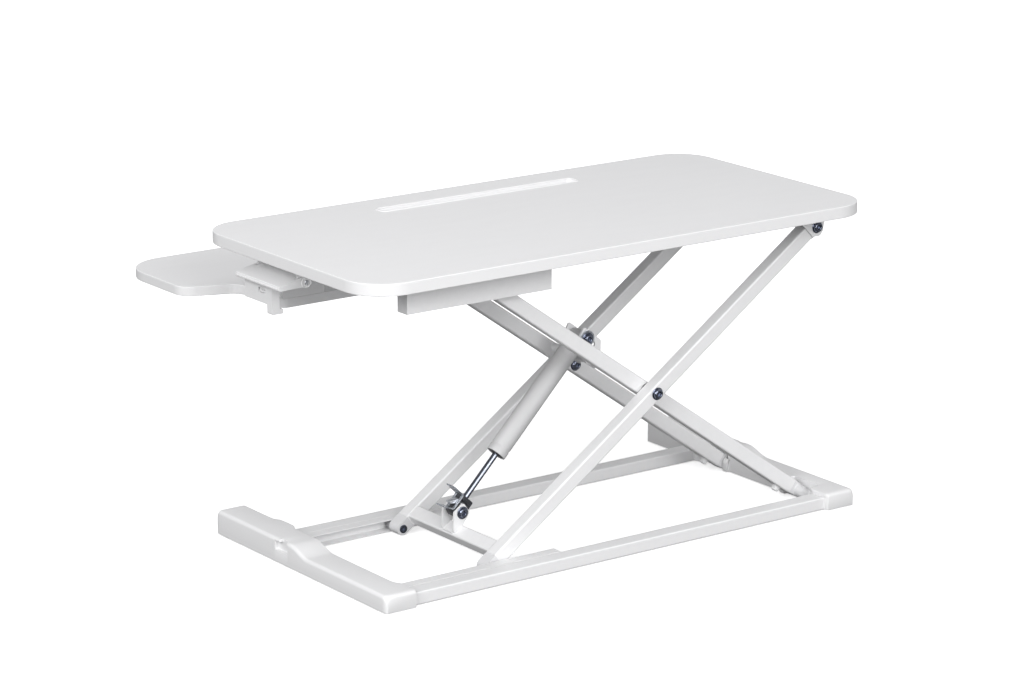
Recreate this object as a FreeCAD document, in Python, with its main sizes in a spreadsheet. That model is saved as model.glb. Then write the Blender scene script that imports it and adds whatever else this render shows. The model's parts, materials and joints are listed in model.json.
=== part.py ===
import FreeCAD, Part
import math
import os
import re
import Sketcher

# Standing desk converter: a worktop and keyboard tray carried by a crossed-arm lift on a low base.
# Millimetres, +Z up, X along the long side, -Y towards the user.
# The origin is on the desk under the centre of the whole object's outline.

SIZES = {
    # worktop
    "worktop_length": 800, "worktop_depth": 400, "worktop_thick": 16, "worktop_corner": 55,
    "worktop_top": 417, "worktop_y": 101, "board_edge": 1.2,
    # keyboard tray
    "tray_half": 400, "tray_neck_half": 328, "tray_front": -301, "tray_side_end": -140,
    "tray_neck_start": -113.5, "tray_rear": -12.5, "tray_top": 328, "tray_thick": 13,
    "tray_front_corner": 60, "tray_side_corner": 26, "tray_neck_corner": 22, "tray_rear_corner": 12,
    # tray hangers
    "hanger_in": 262, "hanger_out": 326, "hanger_length": 68, "sheet": 2,
    # device slot in the worktop
    "slot_y": 61.5, "slot_length": 322, "slot_width": 25, "slot_rim": 3.5, "slot_rim_height": 1,
    "slot_deep": 9, "slot_floor": 1.5,
    # crossed arms: local u runs along an arm from the centre pivot, v stands square to it
    "frame_y": 140.7, "arm_reach": 322.9, "arm_tilt": 35.12, "arm_side": 20, "arm_wall": 1.5,
    "arm_corner": 2.5, "centre_x": -78.3, "low_axis": 9.5, "inner_offset": 76.9, "outer_offset": 99.1,
    "tube_end": 14, "plug_depth": 22, "boss_low": 9, "boss_high": 10,
    "pivot_radius": 4, "running_gap": 0.05, "face_gap": 0.3, "pivot_head": 7, "pivot_head_thick": 5,
    # rollers
    "low_roller": 6.6, "low_roller_in": 111.8, "low_roller_out": 123.6, "low_axle": 3,
    "high_roller": 8.6, "high_roller_in": 90, "high_roller_out": 106, "high_axle": 4,
    "roller_chamfer": 0.8, "axle_tail": 0.8,
    # base
    "foot": 1, "rail_in": 126.3, "rail_width": 25, "rail_height": 17, "rail_wall": 1.5, "rail_corner": 2,
    "rail_socket": 16, "base_half": 380, "bar_width": 42, "bar_front": -99, "bar_back": 298,
    "bar_low": 23.5, "bar_high": 33.5, "block_end": 80, "ramp_end": 116, "bar_round": 4,
    "track_in": 110.9, "track_start": 89, "track_wall": 1.5,
    "foot_radius": 11, "foot_deep": 3, "foot_inset": 22, "foot_side": 12.5,
    # fixed hinge of the inner arms in the left end bar
    "foot_boss_out": 115, "hinge_pin": 3, "hinge_gap": 1.2, "lug_out": 7,
    "lug_near": 9, "lug_far": 8,
    # upper rails
    "high_rail_in": 88.1, "high_rail_out": 109.1, "high_rail_start": 92, "high_rail_end": 312,
    "high_rail_height": 41, "rail_sheet": 1.8, "high_roller_play": 0.3,
    # top hinge brackets
    "bracket_left": -357, "bracket_right": -303, "cheek_gap": 0.6, "cheek": 2, "cheek_round": 13,
    # cross tubes and gas spring
    "cross_u": 297, "cross_high": 18, "cross_wide": 20,
    "inner_bar_u": 45, "inner_bar_v": 4, "inner_bar_radius": 6, "inner_bar_bore": 4.5,
    "gas_low_u": 279, "gas_low_v": 24, "gas_high_u": 72, "gas_high_v": 24,
    "rod_radius": 4, "rod_end": 112, "rod_in_head": 5.5,
    "head_start": -9, "head_end": 20, "head_half": 9,
    "tab_slot": 10, "tab_slot_start": 6, "tab_slot_end": 15,
    "tab_pin_x": 10.6, "tab_pin_deep": 4, "tab_pin": 1.5,
    "cylinder_start": 90, "cylinder_end": 262, "cylinder_radius": 13.5, "cylinder_bore": 12,
    "guide_thick": 8, "piston_radius": 11.7, "piston_thick": 10, "eye_half": 9, "eye_width": 11,
    "high_cheek_in": 14.5, "low_cheek_in": 11, "gas_cheek": 3, "gas_bolt": 4,
    "slot_du": -11.2, "slot_dv": -3.8, "slot_radius": 6.3,
    # release levers
    "lever_hub_x": 364, "lever_hub_z": 379.5, "lever_hub": 7.5, "lever_tip": 403.5,
    "lever_rear": 3, "lever_front": -100, "lever_y": 101, "lever_arm": 4, "lever_pin": 3,
    "latch_out": 393.2, "latch_in": 382.2, "latch_plate": 3, "latch_low": 334, "plate_low": 345.7,
    "plate_high": 376, "stem_high": 374, "window_z": 362, "window_radius": 3.4, "window_front": -60,
    "window_rear": -50,
    "hook_rear": -31.5, "hook_front": -43.5, "nub_in": 376.4, "nub_top": 340.5,
    "housing_in": 320, "housing_out": 377, "cheek_rear": -2, "cheek_front": -95,
    "notch_front": -56, "notch_rear": -26, "notch_low": 17.6, "notch_high": 30, "notch_deep": 5.5,
    # screws
    "screw_radius": 2, "screw_head": 4.2, "screw_head_thick": 2.2, "screw_length": 13,
    "tray_screw_length": 11,
}

doc = FreeCAD.newDocument("desk_converter")
sheet = doc.addObject("Spreadsheet::Sheet", "Sizes")
for row, (alias, size) in enumerate(SIZES.items(), start=1):
    sheet.set("A%d" % row, alias)
    sheet.set("B%d" % row, str(size))
    sheet.setAlias("B%d" % row, alias)
doc.recompute()

# Formulas that several pieces share.
UNDERSIDE = "(worktop_top - worktop_thick)"
SIN = "sin(arm_tilt * 1 deg)"
COS = "cos(arm_tilt * 1 deg)"
HIGH_AXIS = "(low_axis + 2 * arm_reach * %s)" % SIN
CENTRE_Z = "(low_axis + arm_reach * %s)" % SIN
HINGE_X = "(centre_x - arm_reach * %s)" % COS
BAR_IN = "(base_half - bar_width)"
GAS_LOW_X = "(centre_x + gas_low_u * %s + gas_low_v * %s)" % (COS, SIN)
GAS_LOW_Z = "(%s - gas_low_u * %s + gas_low_v * %s)" % (CENTRE_Z, SIN, COS)
GAS_HIGH_X = "(centre_x + gas_high_u * %s - gas_high_v * %s)" % (COS, SIN)
GAS_HIGH_Z = "(%s + gas_high_u * %s + gas_high_v * %s)" % (CENTRE_Z, SIN, COS)
GAS_TILT = "atan2(%s - %s; %s - %s)" % (GAS_HIGH_Z, GAS_LOW_Z, GAS_LOW_X, GAS_HIGH_X)
BRACKET_IN = "(outer_offset - arm_side / 2 - cheek_gap - cheek)"
BRACKET_OUT = "(outer_offset + arm_side / 2 + cheek_gap + cheek)"
SLOT_TURN = "(180 deg - atan2(-slot_dv; -slot_du))"
GAS_LENGTH = "(sqrt((%s - %s)^2 + (%s - %s)^2))" % (GAS_HIGH_Z, GAS_LOW_Z, GAS_LOW_X, GAS_HIGH_X)

nodes = []


def linked(formula):
    """Point every dimension's name in a formula at its cell in the sheet."""
    return re.sub(r"[a-z_]+", lambda word: "Sizes." + word.group() if word.group() in SIZES else word.group(),
                  str(formula))


def bind(item, prop, formula):
    item.setExpression(prop, linked(formula))
    return item


def place(item, x=0, y=0, z=0):
    for letter, formula in zip("xyz", (x, y, z)):
        bind(item, "Placement.Base." + letter, formula)
    return item


def tilt(item, angle, axis=(0, 1, 0)):
    """Turn an item about an axis through its own origin."""
    item.Placement.Rotation = FreeCAD.Rotation(FreeCAD.Vector(*axis), 10)
    bind(item, "Placement.Rotation.Angle", angle)
    return item


def node(item, label):
    """Keep an item as a separate piece of the object."""
    item.Label = label
    nodes.append(item)
    return item


def box(x0, x1, y0, y1, z0, z1):
    item = doc.addObject("Part::Box", "box")
    bind(item, "Length", "(%s) - (%s)" % (x1, x0))
    bind(item, "Width", "(%s) - (%s)" % (y1, y0))
    bind(item, "Height", "(%s) - (%s)" % (z1, z0))
    return place(item, x0, y0, z0)


def cylinder_y(x, z, radius, y0, y1):
    """A round bar along Y."""
    item = doc.addObject("Part::Cylinder", "bar")
    item.Placement.Rotation = FreeCAD.Rotation(FreeCAD.Vector(1, 0, 0), -90)
    bind(item, "Radius", radius)
    bind(item, "Height", "(%s) - (%s)" % (y1, y0))
    return place(item, x, y0, z)


def cylinder_x(y, z, radius, x0, x1):
    """A round bar along X."""
    item = doc.addObject("Part::Cylinder", "bar")
    item.Placement.Rotation = FreeCAD.Rotation(FreeCAD.Vector(0, 1, 0), 90)
    bind(item, "Radius", radius)
    bind(item, "Height", "(%s) - (%s)" % (x1, x0))
    return place(item, x0, y, z)


def cylinder_z(x, y, radius, z0, z1):
    """A round bar along Z."""
    item = doc.addObject("Part::Cylinder", "bar")
    bind(item, "Radius", radius)
    bind(item, "Height", "(%s) - (%s)" % (z1, z0))
    return place(item, x, y, z0)


def fuse(*items):
    if len(items) == 1:
        return items[0]
    item = doc.addObject("Part::MultiFuse", "joined")
    item.Shapes = list(items)
    item.Refine = True
    return item


def group(*items):
    """Separate solids that share one node."""
    item = doc.addObject("Part::Compound", "group")
    item.Links = list(items)
    return item


def cut(base, *tools):
    item = doc.addObject("Part::Cut", "cut")
    item.Base = base
    item.Tool = tools[0] if len(tools) == 1 else group(*tools)
    return item


def rounded(item, radius, test):
    """Round the edges of an item whose midpoint passes a test."""
    doc.recompute()
    chosen = [(index, size_of(radius), size_of(radius))
              for index, edge in enumerate(item.Shape.Edges, start=1) if test(edge, middle(edge))]
    result = doc.addObject("Part::Fillet", "rounded")
    result.Base = item
    result.Edges = chosen
    return result


def size_of(alias):
    return float(sheet.get(alias)) if alias in SIZES else float(alias)


def middle(edge):
    return edge.valueAt((edge.FirstParameter + edge.LastParameter) / 2)


def straight_along(edge, letter):
    """True for a straight edge along one axis."""
    if edge.Curve.TypeId != "Part::GeomLine":
        return False
    direction = edge.tangentAt(edge.FirstParameter)
    return abs(getattr(direction, letter)) > 0.999


def polygon_sketch(body, role, points):
    """A closed outline on an origin plane, each corner tied to the sheet."""
    sketch = body.newObject("Sketcher::SketchObject", "outline")
    plane = [item for item in body.Origin.OriginFeatures if item.Role == role][0]
    sketch.AttachmentSupport = (plane, "")
    sketch.MapMode = "FlatFace"
    corners = [FreeCAD.Vector(number(x), number(y), 0) for x, y in points]
    for start, end in zip(corners, corners[1:] + corners[:1]):
        sketch.addGeometry(Part.LineSegment(start, end), False)
    count = len(points)
    for line in range(count):
        sketch.addConstraint(Sketcher.Constraint("Coincident", line, 2, (line + 1) % count, 1))
    for line, (x, y) in enumerate(points):
        for kind, formula, value in (("DistanceX", x, corners[line].x), ("DistanceY", y, corners[line].y)):
            index = sketch.addConstraint(Sketcher.Constraint(kind, -1, 1, line, 1, value))
            sketch.setExpression("Constraints[%d]" % index, linked(formula))
    return sketch


def number(formula):
    """The present value of a formula over the sheet."""
    probe = sheet.evalExpression(linked(formula).replace("Sizes.", ""))
    return float(getattr(probe, "Value", probe))


def prism(role, points, length, rounds=(), name="prism"):
    """A PartDesign body: an outline padded both ways from an origin plane, with rounded corners."""
    body = doc.addObject("PartDesign::Body", name)
    sketch = polygon_sketch(body, role, points)
    pad = body.newObject("PartDesign::Pad", "pad")
    pad.Profile = sketch
    pad.SideType = "Symmetric"
    bind(pad, "Length", length)
    doc.recompute()
    letter = {"XY_Plane": "z", "XZ_Plane": "y", "YZ_Plane": "x"}[role]
    for radius, test in rounds:
        last = body.Tip
        names = ["Edge%d" % index for index, edge in enumerate(last.Shape.Edges, start=1)
                 if test(edge, middle(edge), letter)]
        fillet = body.newObject("PartDesign::Fillet", "round")
        fillet.Base = (last, names)
        bind(fillet, "Radius", radius)
        doc.recompute()
    return body


def all_along(edge, spot, letter):
    return straight_along(edge, letter)


def ends(edge, spot, letter):
    """Every edge that is not straight along the pad's direction: the two end outlines."""
    return not straight_along(edge, letter)


def square_tube(role, wide, high, wall, corner, length):
    """A drawn square tube centred on the body's origin, open at both ends."""
    half = [("-(%s) / 2" % wide, "-(%s) / 2" % high), ("(%s) / 2" % wide, "-(%s) / 2" % high),
            ("(%s) / 2" % wide, "(%s) / 2" % high), ("-(%s) / 2" % wide, "(%s) / 2" % high)]
    body = prism(role, half, length, [(corner, all_along)], "tube")
    inner = [("-(%s) / 2 + %s" % (wide, wall), "-(%s) / 2 + %s" % (high, wall)),
             ("(%s) / 2 - %s" % (wide, wall), "-(%s) / 2 + %s" % (high, wall)),
             ("(%s) / 2 - %s" % (wide, wall), "(%s) / 2 - %s" % (high, wall)),
             ("-(%s) / 2 + %s" % (wide, wall), "(%s) / 2 - %s" % (high, wall))]
    sketch = polygon_sketch(body, role, inner)
    pocket = body.newObject("PartDesign::Pocket", "bore")
    pocket.Profile = sketch
    pocket.SideType = "Symmetric"
    bind(pocket, "Length", "(%s) + 2" % length)
    doc.recompute()
    return body


def on_arm(item, inner):
    """Put an item that is built in an arm's own (u, y, v) frame at the centre pivot."""
    tilt(item, "arm_tilt", (0, -1, 0) if inner else (0, 1, 0))
    return place(item, "centre_x", "frame_y", CENTRE_Z)


def on_gas_spring(item):
    """Put an item that is built along the gas spring, x = 0 at its lower pivot, in place."""
    tilt(item, GAS_TILT)
    return place(item, GAS_LOW_X, "frame_y", GAS_LOW_Z)


SIDES = (("back", 1), ("front", -1))


def span(sign, near, far):
    """Low and high Y of something between two distances from the frame's middle plane."""
    return ("(%s)" % near, "(%s)" % far) if sign > 0 else ("-(%s)" % far, "-(%s)" % near)


# ---------------------------------------------------------------- base

def end_bar(side):
    """Moulded end bar: low at the back, a raised block towards the user, a ramp between."""
    outline = [("bar_front", "foot"), ("bar_back", "foot"), ("bar_back", "bar_low"),
               ("ramp_end", "bar_low"), ("block_end", "bar_high"), ("bar_front", "bar_high")]

    def ramp(edge, spot, letter):
        return straight_along(edge, letter) and size_of("block_end") - 1 < spot.y < size_of("ramp_end") + 1

    def corner(edge, spot, letter):
        at_end = spot.y < size_of("bar_front") + 1 or spot.y > size_of("bar_back") - 1
        return straight_along(edge, letter) and at_end and spot.z > size_of("foot") + 1

    def top_edge(edge, spot, letter):
        outward = spot.x * side > 0
        return not straight_along(edge, letter) and outward and spot.z > size_of("bar_low") - 6

    def inner_top(edge, spot, letter):
        inward = spot.x * side < 0
        return not straight_along(edge, letter) and inward and spot.z > size_of("bar_low") - 6

    def upright(edge, spot, letter):
        return straight_along(edge, "z")

    body = prism("YZ_Plane", outline, "bar_width",
                 [("18", ramp), ("6", corner), ("bar_round", top_edge), ("1.5", inner_top)], "end_bar")
    place(body, "%d * (base_half - bar_width / 2)" % side)
    tools = []
    for _, sign in SIDES:
        low, high = span(sign, "rail_in", "rail_in + rail_width")
        inner = "%d * %s" % (side, BAR_IN)
        deep = "%d * (%s + rail_socket)" % (side, BAR_IN)
        first, last = (inner, deep) if side > 0 else (deep, inner)
        tools.append(box(first, last, "frame_y + " + low, "frame_y + " + high, "foot", "foot + rail_height"))
    outer = "%d * base_half" % side
    deep = "%d * (base_half - notch_deep)" % side
    first, last = (deep, outer) if side > 0 else (outer, deep)
    tools.append(box(first, last, "lever_y + notch_front", "lever_y + notch_rear", "notch_low", "notch_high"))
    tools.append(box(first, last, "lever_y + hook_front - 1.5", "lever_y + hook_rear + 1.5",
                     "notch_low", "bar_high + 1"))
    for y in ("bar_front + foot_inset", "bar_back - foot_inset"):
        tools.append(cylinder_z("%d * (base_half - foot_side)" % side, y, "foot_radius", "0", "foot_deep"))
    return body, tools


right_body, right_tools = end_bar(1)
node(cut(right_body, *right_tools), "base_end_bar_right")

# The left end bar also holds the hinge pins of the inner arms, between pairs of lugs.
LUG_IN = "(inner_offset - arm_side / 2 - hinge_gap)"
LUG_OUT = "(foot_boss_out + hinge_gap)"
left_body, left_tools = end_bar(-1)
lugs = []
for _, sign in SIDES:
    boss = span(sign, LUG_IN, LUG_OUT)
    left_tools.append(box("%s - boss_low - hinge_gap" % HINGE_X, "-%s + 1" % BAR_IN,
                          "frame_y + " + boss[0], "frame_y + " + boss[1], "0", "bar_low + 1"))
    for near, far in (("%s - lug_near" % LUG_IN, LUG_IN), (LUG_OUT, "%s + lug_far" % LUG_OUT)):
        low, high = span(sign, near, far)
        lugs.append(box("-%s - 1" % BAR_IN, "-%s + lug_out" % BAR_IN, "frame_y + " + low, "frame_y + " + high,
                        "foot", "2 * low_axis - foot"))
pins = []
for _, sign in SIDES:
    low, high = span(sign, "%s - lug_near" % LUG_IN, "%s + lug_far" % LUG_OUT)
    pins.append(cylinder_y(HINGE_X, "low_axis", "hinge_pin", "frame_y + " + low, "frame_y + " + high))
node(cut(fuse(left_body, *lugs), *(left_tools + pins)), "base_end_bar_left")
node(group(*pins), "lower_hinge_pins")

for name, sign in SIDES:
    rail = square_tube("YZ_Plane", "rail_width", "rail_height", "rail_wall", "rail_corner",
                       "2 * (%s + rail_socket)" % BAR_IN)
    place(rail, 0, "frame_y + %d * (rail_in + rail_width / 2)" % sign, "foot + rail_height / 2")
    node(rail, "base_rail_" + name)

    low, high = span(sign, "track_in", "rail_in")
    outer = box("track_start", BAR_IN, "frame_y + " + low, "frame_y + " + high, "foot", "foot + rail_height")
    low, high = span(sign, "track_in - 1", "rail_in - track_wall")
    inner = box("track_start - 1", "%s + 1" % BAR_IN, "frame_y + " + low, "frame_y + " + high,
                "foot + track_wall", "foot + rail_height - track_wall")
    node(cut(outer, inner), "roller_track_" + name)

feet = [cylinder_z("%d * (base_half - foot_side)" % side, y, "foot_radius", "0", "foot_deep")
        for side in (1, -1) for y in ("bar_front + foot_inset", "bar_back - foot_inset")]
node(group(*feet), "rubber_feet")


# ---------------------------------------------------------------- crossed arms

def arm_tube(sign, offset, hole):
    """Square tube arm with a hole through both walls at the centre pivot."""
    tube = square_tube("YZ_Plane", "arm_side", "arm_side", "arm_wall", "arm_corner",
                       "2 * (arm_reach - tube_end)")
    place(tube, 0, "%d * %s" % (sign, offset))
    low, high = span(sign, "%s - arm_side / 2 - 1" % offset, "%s + arm_side / 2 + 1" % offset)
    return cut(tube, cylinder_y("0", "0", hole, low, high))


def arm_plug(sign, offset, end, boss, hole, boss_near=None, boss_far=None):
    """Moulded plug in the end of an arm, with a round boss about the end pivot."""
    near = boss_near or "%s - arm_side / 2" % offset
    far = boss_far or "%s + arm_side / 2" % offset
    wall_low, wall_high = span(sign, "%s - arm_side / 2 + arm_wall" % offset,
                               "%s + arm_side / 2 - arm_wall" % offset)
    first, last = ("arm_reach - tube_end - plug_depth", "arm_reach - tube_end")
    if end < 0:
        first, last = ("-(%s)" % last, "-(%s)" % first)
    spigot = box(first, last, wall_low, wall_high, "arm_wall - arm_side / 2", "arm_side / 2 - arm_wall")
    low, high = span(sign, "%s - arm_side / 2" % offset, "%s + arm_side / 2" % offset)
    first, last = ("arm_reach - tube_end", "arm_reach")
    if end < 0:
        first, last = ("-(%s)" % last, "-(%s)" % first)
    neck = box(first, last, low, high, "-" + boss, boss)
    low, high = span(sign, near, far)
    round_boss = cylinder_y("%d * arm_reach" % end, "0", boss, low, high)
    bore = cylinder_y("%d * arm_reach" % end, "0", hole, "%s - 1" % low, "%s + 1" % high)
    return cut(fuse(spigot, neck, round_boss), bore)


for name, sign in SIDES:
    node(on_arm(arm_tube(sign, "inner_offset", "pivot_radius"), True), "inner_arm_" + name)
    node(on_arm(arm_tube(sign, "outer_offset", "pivot_radius + running_gap"), False), "outer_arm_" + name)

node(on_arm(group(*[arm_plug(sign, "inner_offset", -1, "boss_low", "hinge_pin + running_gap",
                             boss_far="foot_boss_out") for _, sign in SIDES]), True), "inner_arm_hinge_feet")
node(on_arm(group(*[arm_plug(sign, "inner_offset", 1, "boss_high", "high_axle")
                    for _, sign in SIDES]), True), "inner_arm_roller_ends")
node(on_arm(group(*[arm_plug(sign, "outer_offset", 1, "boss_low", "low_axle")
                    for _, sign in SIDES]), False), "outer_arm_roller_ends")
node(on_arm(group(*[arm_plug(sign, "outer_offset", -1, "boss_high", "pivot_radius + running_gap")
                    for _, sign in SIDES]), False), "outer_arm_hinge_ends")


def hex_nut(x, z, y0, thick):
    """Hexagonal nut with its flats square to Z."""
    item = doc.addObject("Part::Prism", "nut")
    item.Polygon = 6
    bind(item, "Circumradius", "pivot_head")
    bind(item, "Height", thick)
    item.Placement.Rotation = FreeCAD.Rotation(FreeCAD.Vector(1, 0, 0), -90)
    return place(item, x, y0, z)


def socket_bolt(x, z, y0, y1):
    """Socket-head bolt along Y: head beyond y1, nut before y0."""
    head = cylinder_y(x, z, "pivot_head", y1, "%s + pivot_head_thick" % y1)
    face = number(y1) + size_of("pivot_head_thick")
    crowned = rounded(head, "1.0", lambda edge, spot: edge.BoundBox.YMin > face - 0.1)
    socket = hex_nut(x, z, "%s + pivot_head_thick - 2.8" % y1, "3")
    bind(socket, "Circumradius", "pivot_head / 2")
    shank = cylinder_y(x, z, "pivot_radius", "%s - pivot_head_thick" % y0, y1)
    nut = hex_nut(x, z, "%s - pivot_head_thick" % y0, "pivot_head_thick")
    return cut(fuse(crowned, shank, nut), socket)


centre_bolts = []
for near, far in (("inner_offset - arm_side / 2", "outer_offset + arm_side / 2 + face_gap"),
                  ("-outer_offset - arm_side / 2 - face_gap", "-inner_offset + arm_side / 2")):
    centre_bolts.append(socket_bolt("0", "0", near, far))
node(on_arm(group(*centre_bolts), True), "centre_pivot_bolts")

washers = []
for _, sign in SIDES:
    low, high = span(sign, "inner_offset + arm_side / 2", "outer_offset - arm_side / 2 - face_gap")
    washers.append(cut(cylinder_y("0", "0", "arm_side / 2 - 1", low, high),
                       cylinder_y("0", "0", "pivot_radius", "%s - 1" % low, "%s + 1" % high)))
node(on_arm(group(*washers), True), "centre_pivot_washers")


def roller(sign, radius, bore, near, far):
    """Nylon roller with chamfered rims."""
    low, high = span(sign, near, far)
    wheel = cut(cylinder_y("0", "0", radius, low, high),
                cylinder_y("0", "0", "%s + running_gap" % bore, "%s - 1" % low, "%s + 1" % high))
    doc.recompute()
    chamfer = doc.addObject("Part::Chamfer", "roller")
    chamfer.Base = wheel
    widest = size_of(radius)
    shoulder = size_of("roller_chamfer")
    chamfer.Edges = [(index, shoulder, shoulder)
                     for index, edge in enumerate(wheel.Shape.Edges, start=1)
                     if edge.Curve.TypeId == "Part::GeomCircle" and abs(edge.Curve.Radius - widest) < 0.01]
    return chamfer


for name, sign in SIDES:
    low_roller = roller(sign, "low_roller", "low_axle", "low_roller_in", "low_roller_out")
    place(low_roller, "centre_x + arm_reach * " + COS, "frame_y", "low_axis")
    node(low_roller, "lower_roller_" + name)
    high_roller = roller(sign, "high_roller", "high_axle", "high_roller_in", "high_roller_out")
    place(high_roller, "centre_x + arm_reach * " + COS, "frame_y", HIGH_AXIS)
    node(high_roller, "upper_roller_" + name)

lower_axles = []
upper_axles = []
for _, sign in SIDES:
    low, high = span(sign, "outer_offset - arm_side / 2", "low_roller_out + axle_tail")
    lower_axles.append(cylinder_y("arm_reach", "0", "low_axle", low, high))
    low, high = span(sign, "inner_offset - arm_side / 2", "high_roller_out + axle_tail")
    upper_axles.append(cylinder_y("arm_reach", "0", "high_axle", low, high))
node(on_arm(group(*lower_axles), False), "lower_roller_axles")
node(on_arm(group(*upper_axles), True), "upper_roller_axles")

# Square cross tube that ties the outer arms together next to their rollers.
cross = square_tube("XZ_Plane", "cross_wide", "cross_high", "arm_wall", "arm_corner",
                    "2 * outer_offset - arm_side")
place(cross, "cross_u")
node(on_arm(group(cross), False), "outer_cross_tube")

# Round cross tube between the inner arms, just above the centre pivot.
BAR_REACH = "(inner_offset - arm_side / 2)"
round_bar = cut(cylinder_y("inner_bar_u", "inner_bar_v", "inner_bar_radius", "-" + BAR_REACH, BAR_REACH),
                cylinder_y("inner_bar_u", "inner_bar_v", "inner_bar_bore", "-%s - 1" % BAR_REACH,
                           "%s + 1" % BAR_REACH))
node(on_arm(round_bar, True), "inner_cross_tube")

# Stop screws under the inner arms, next to their hinged ends.
stops = []
for _, sign in SIDES:
    stops.append(fuse(cylinder_z("24 - arm_reach + tube_end - 6", "%d * inner_offset" % sign, "3",
                                 "-arm_side / 2 - 6", "-arm_side / 2"),
                      cylinder_z("24 - arm_reach + tube_end - 6", "%d * inner_offset" % sign, "4.5",
                                 "-arm_side / 2 - 2", "-arm_side / 2")))
node(on_arm(group(*stops), True), "inner_arm_stop_studs")

# ---------------------------------------------------------------- gas spring

def cheek_plate(points, near, thick, sign):
    """Flat bracket cheek in an arm's own frame."""
    plate = prism("XZ_Plane", points, thick, [("3", all_along)], "cheek")
    return place(plate, 0, "%d * (%s + (%s) / 2)" % (sign, near, thick))


low_cheeks = []
high_cheeks = []
for _, sign in SIDES:
    plate = cheek_plate([("cross_u - 8", "cross_high / 2"), ("cross_u + 9", "cross_high / 2"),
                         ("cross_u + 4", "cross_high / 2 + 8"), ("gas_low_u + 9", "gas_low_v + 9"),
                         ("gas_low_u - 9", "gas_low_v + 9"), ("gas_low_u - 9", "gas_low_v - 8")],
                        "low_cheek_in", "gas_cheek", sign)
    low, high = span(sign, "low_cheek_in - 1", "low_cheek_in + gas_cheek + 1")
    low_cheeks.append(cut(plate, cylinder_y("gas_low_u", "gas_low_v", "gas_bolt", low, high)))
    plate = cheek_plate([("inner_bar_u - 9", "inner_bar_v - 8"), ("inner_bar_u + 8", "inner_bar_v - 8"),
                         ("gas_high_u + 11", "gas_high_v - 13"), ("gas_high_u + 13", "gas_high_v + 11"),
                         ("gas_high_u - 22", "gas_high_v + 9"), ("inner_bar_u - 9", "inner_bar_v + 8")],
                        "high_cheek_in", "gas_cheek", sign)
    low, high = span(sign, "high_cheek_in - 1", "high_cheek_in + gas_cheek + 1")
    first = cylinder_y("gas_high_u", "gas_high_v", "slot_radius", low, high)
    last = cylinder_y("gas_high_u + slot_du", "gas_high_v + slot_dv", "slot_radius", low, high)
    bridge = box("0", "sqrt(slot_du^2 + slot_dv^2)", low, high, "-slot_radius", "slot_radius")
    tilt(bridge, SLOT_TURN)
    place(bridge, "gas_high_u - slot_radius * sin(%s)" % SLOT_TURN, low,
          "gas_high_v - slot_radius * cos(%s)" % SLOT_TURN)
    bar_hole = cylinder_y("inner_bar_u", "inner_bar_v", "inner_bar_radius", low, high)
    high_cheeks.append(cut(plate, group(fuse(first, last, bridge), bar_hole)))
low_floor = box("cross_u - 8", "cross_u + 8", "-low_cheek_in", "low_cheek_in",
                "cross_high / 2", "cross_high / 2 + sheet")
high_web = box("inner_bar_u - 9", "inner_bar_u - 7", "-high_cheek_in", "high_cheek_in",
               "inner_bar_v - 4", "inner_bar_v + 4")
node(on_arm(fuse(low_floor, *low_cheeks), False), "gas_spring_lower_bracket")
node(on_arm(fuse(high_web, *high_cheeks), True), "gas_spring_upper_bracket")


def hex_bolt(x, z, half, reach):
    """Bolt along Y with a hexagonal nut: shank to +-half, head and nut beyond."""
    head = cylinder_y(x, z, "pivot_head", half, "%s + %s" % (half, reach))
    socket = hex_nut(x, z, "%s + %s - 2.5" % (half, reach), "3")
    bind(socket, "Circumradius", "pivot_head / 2")
    nut = hex_nut(x, z, "-(%s) - %s" % (half, reach), reach)
    return cut(fuse(head, cylinder_y(x, z, "gas_bolt", "-(%s)" % half, half), nut), socket)


node(on_arm(group(hex_bolt("gas_low_u", "gas_low_v", "low_cheek_in + gas_cheek", "4")), False),
     "gas_spring_lower_bolt")

# Along the gas spring x = 0 is the lower pivot and x = -length the upper one.
rod = cylinder_x("0", "0", "rod_radius", "-rod_end", "-head_end + rod_in_head")
node(on_gas_spring(group(rod)), "gas_rod")
node(on_gas_spring(group(cylinder_x("0", "0", "piston_radius", "-rod_end - piston_thick", "-rod_end"))),
     "gas_piston")

head_block = box("-head_end", "-head_start", "-head_half", "head_half", "-head_half", "head_half")
head_block = rounded(head_block, "2.5", lambda edge, spot: straight_along(edge, "x"))
TAB_X = "(-head_end + tab_pin_x)"
TAB_Z = "(head_half - tab_pin_deep)"
tab_pin = cylinder_y(TAB_X, TAB_Z, "tab_pin", "-head_half - 1", "head_half + 1")
node(on_gas_spring(cut(head_block,
                       cylinder_y("0", "0", "gas_bolt + running_gap", "-head_half - 1", "head_half + 1"),
                       cylinder_x("0", "0", "rod_radius", "-head_end - 6", "-head_end + rod_in_head"),
                       cylinder_y(TAB_X, TAB_Z, "tab_pin", "-head_half - 1", "head_half + 1"),
                       box("-head_end + tab_slot_start", "-head_end + tab_slot_end", "-tab_slot / 2",
                           "tab_slot / 2", "-3", "head_half + 1"))),
     "gas_release_head")

# Release tab: a bent lever in the head's slot that presses the valve pin at the rod's end.
tab = prism("XZ_Plane", [("-head_end + 7.4", "-2"), ("-head_end + 13.8", "-2"),
                         ("-head_end + 13.8", "head_half + 0.6"), ("-head_end + 21", "head_half + 9"),
                         ("-head_end + 18.5", "head_half + 11.3"), ("-head_end + 7.4", "head_half + 1.5")],
            "tab_slot - 0.6", [("1", all_along)], "tab")
node(on_gas_spring(cut(tab, cylinder_y(TAB_X, TAB_Z, "tab_pin + running_gap", "-tab_slot", "tab_slot"))),
     "gas_release_tab")
node(on_gas_spring(group(tab_pin)), "gas_release_tab_pin")

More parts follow.
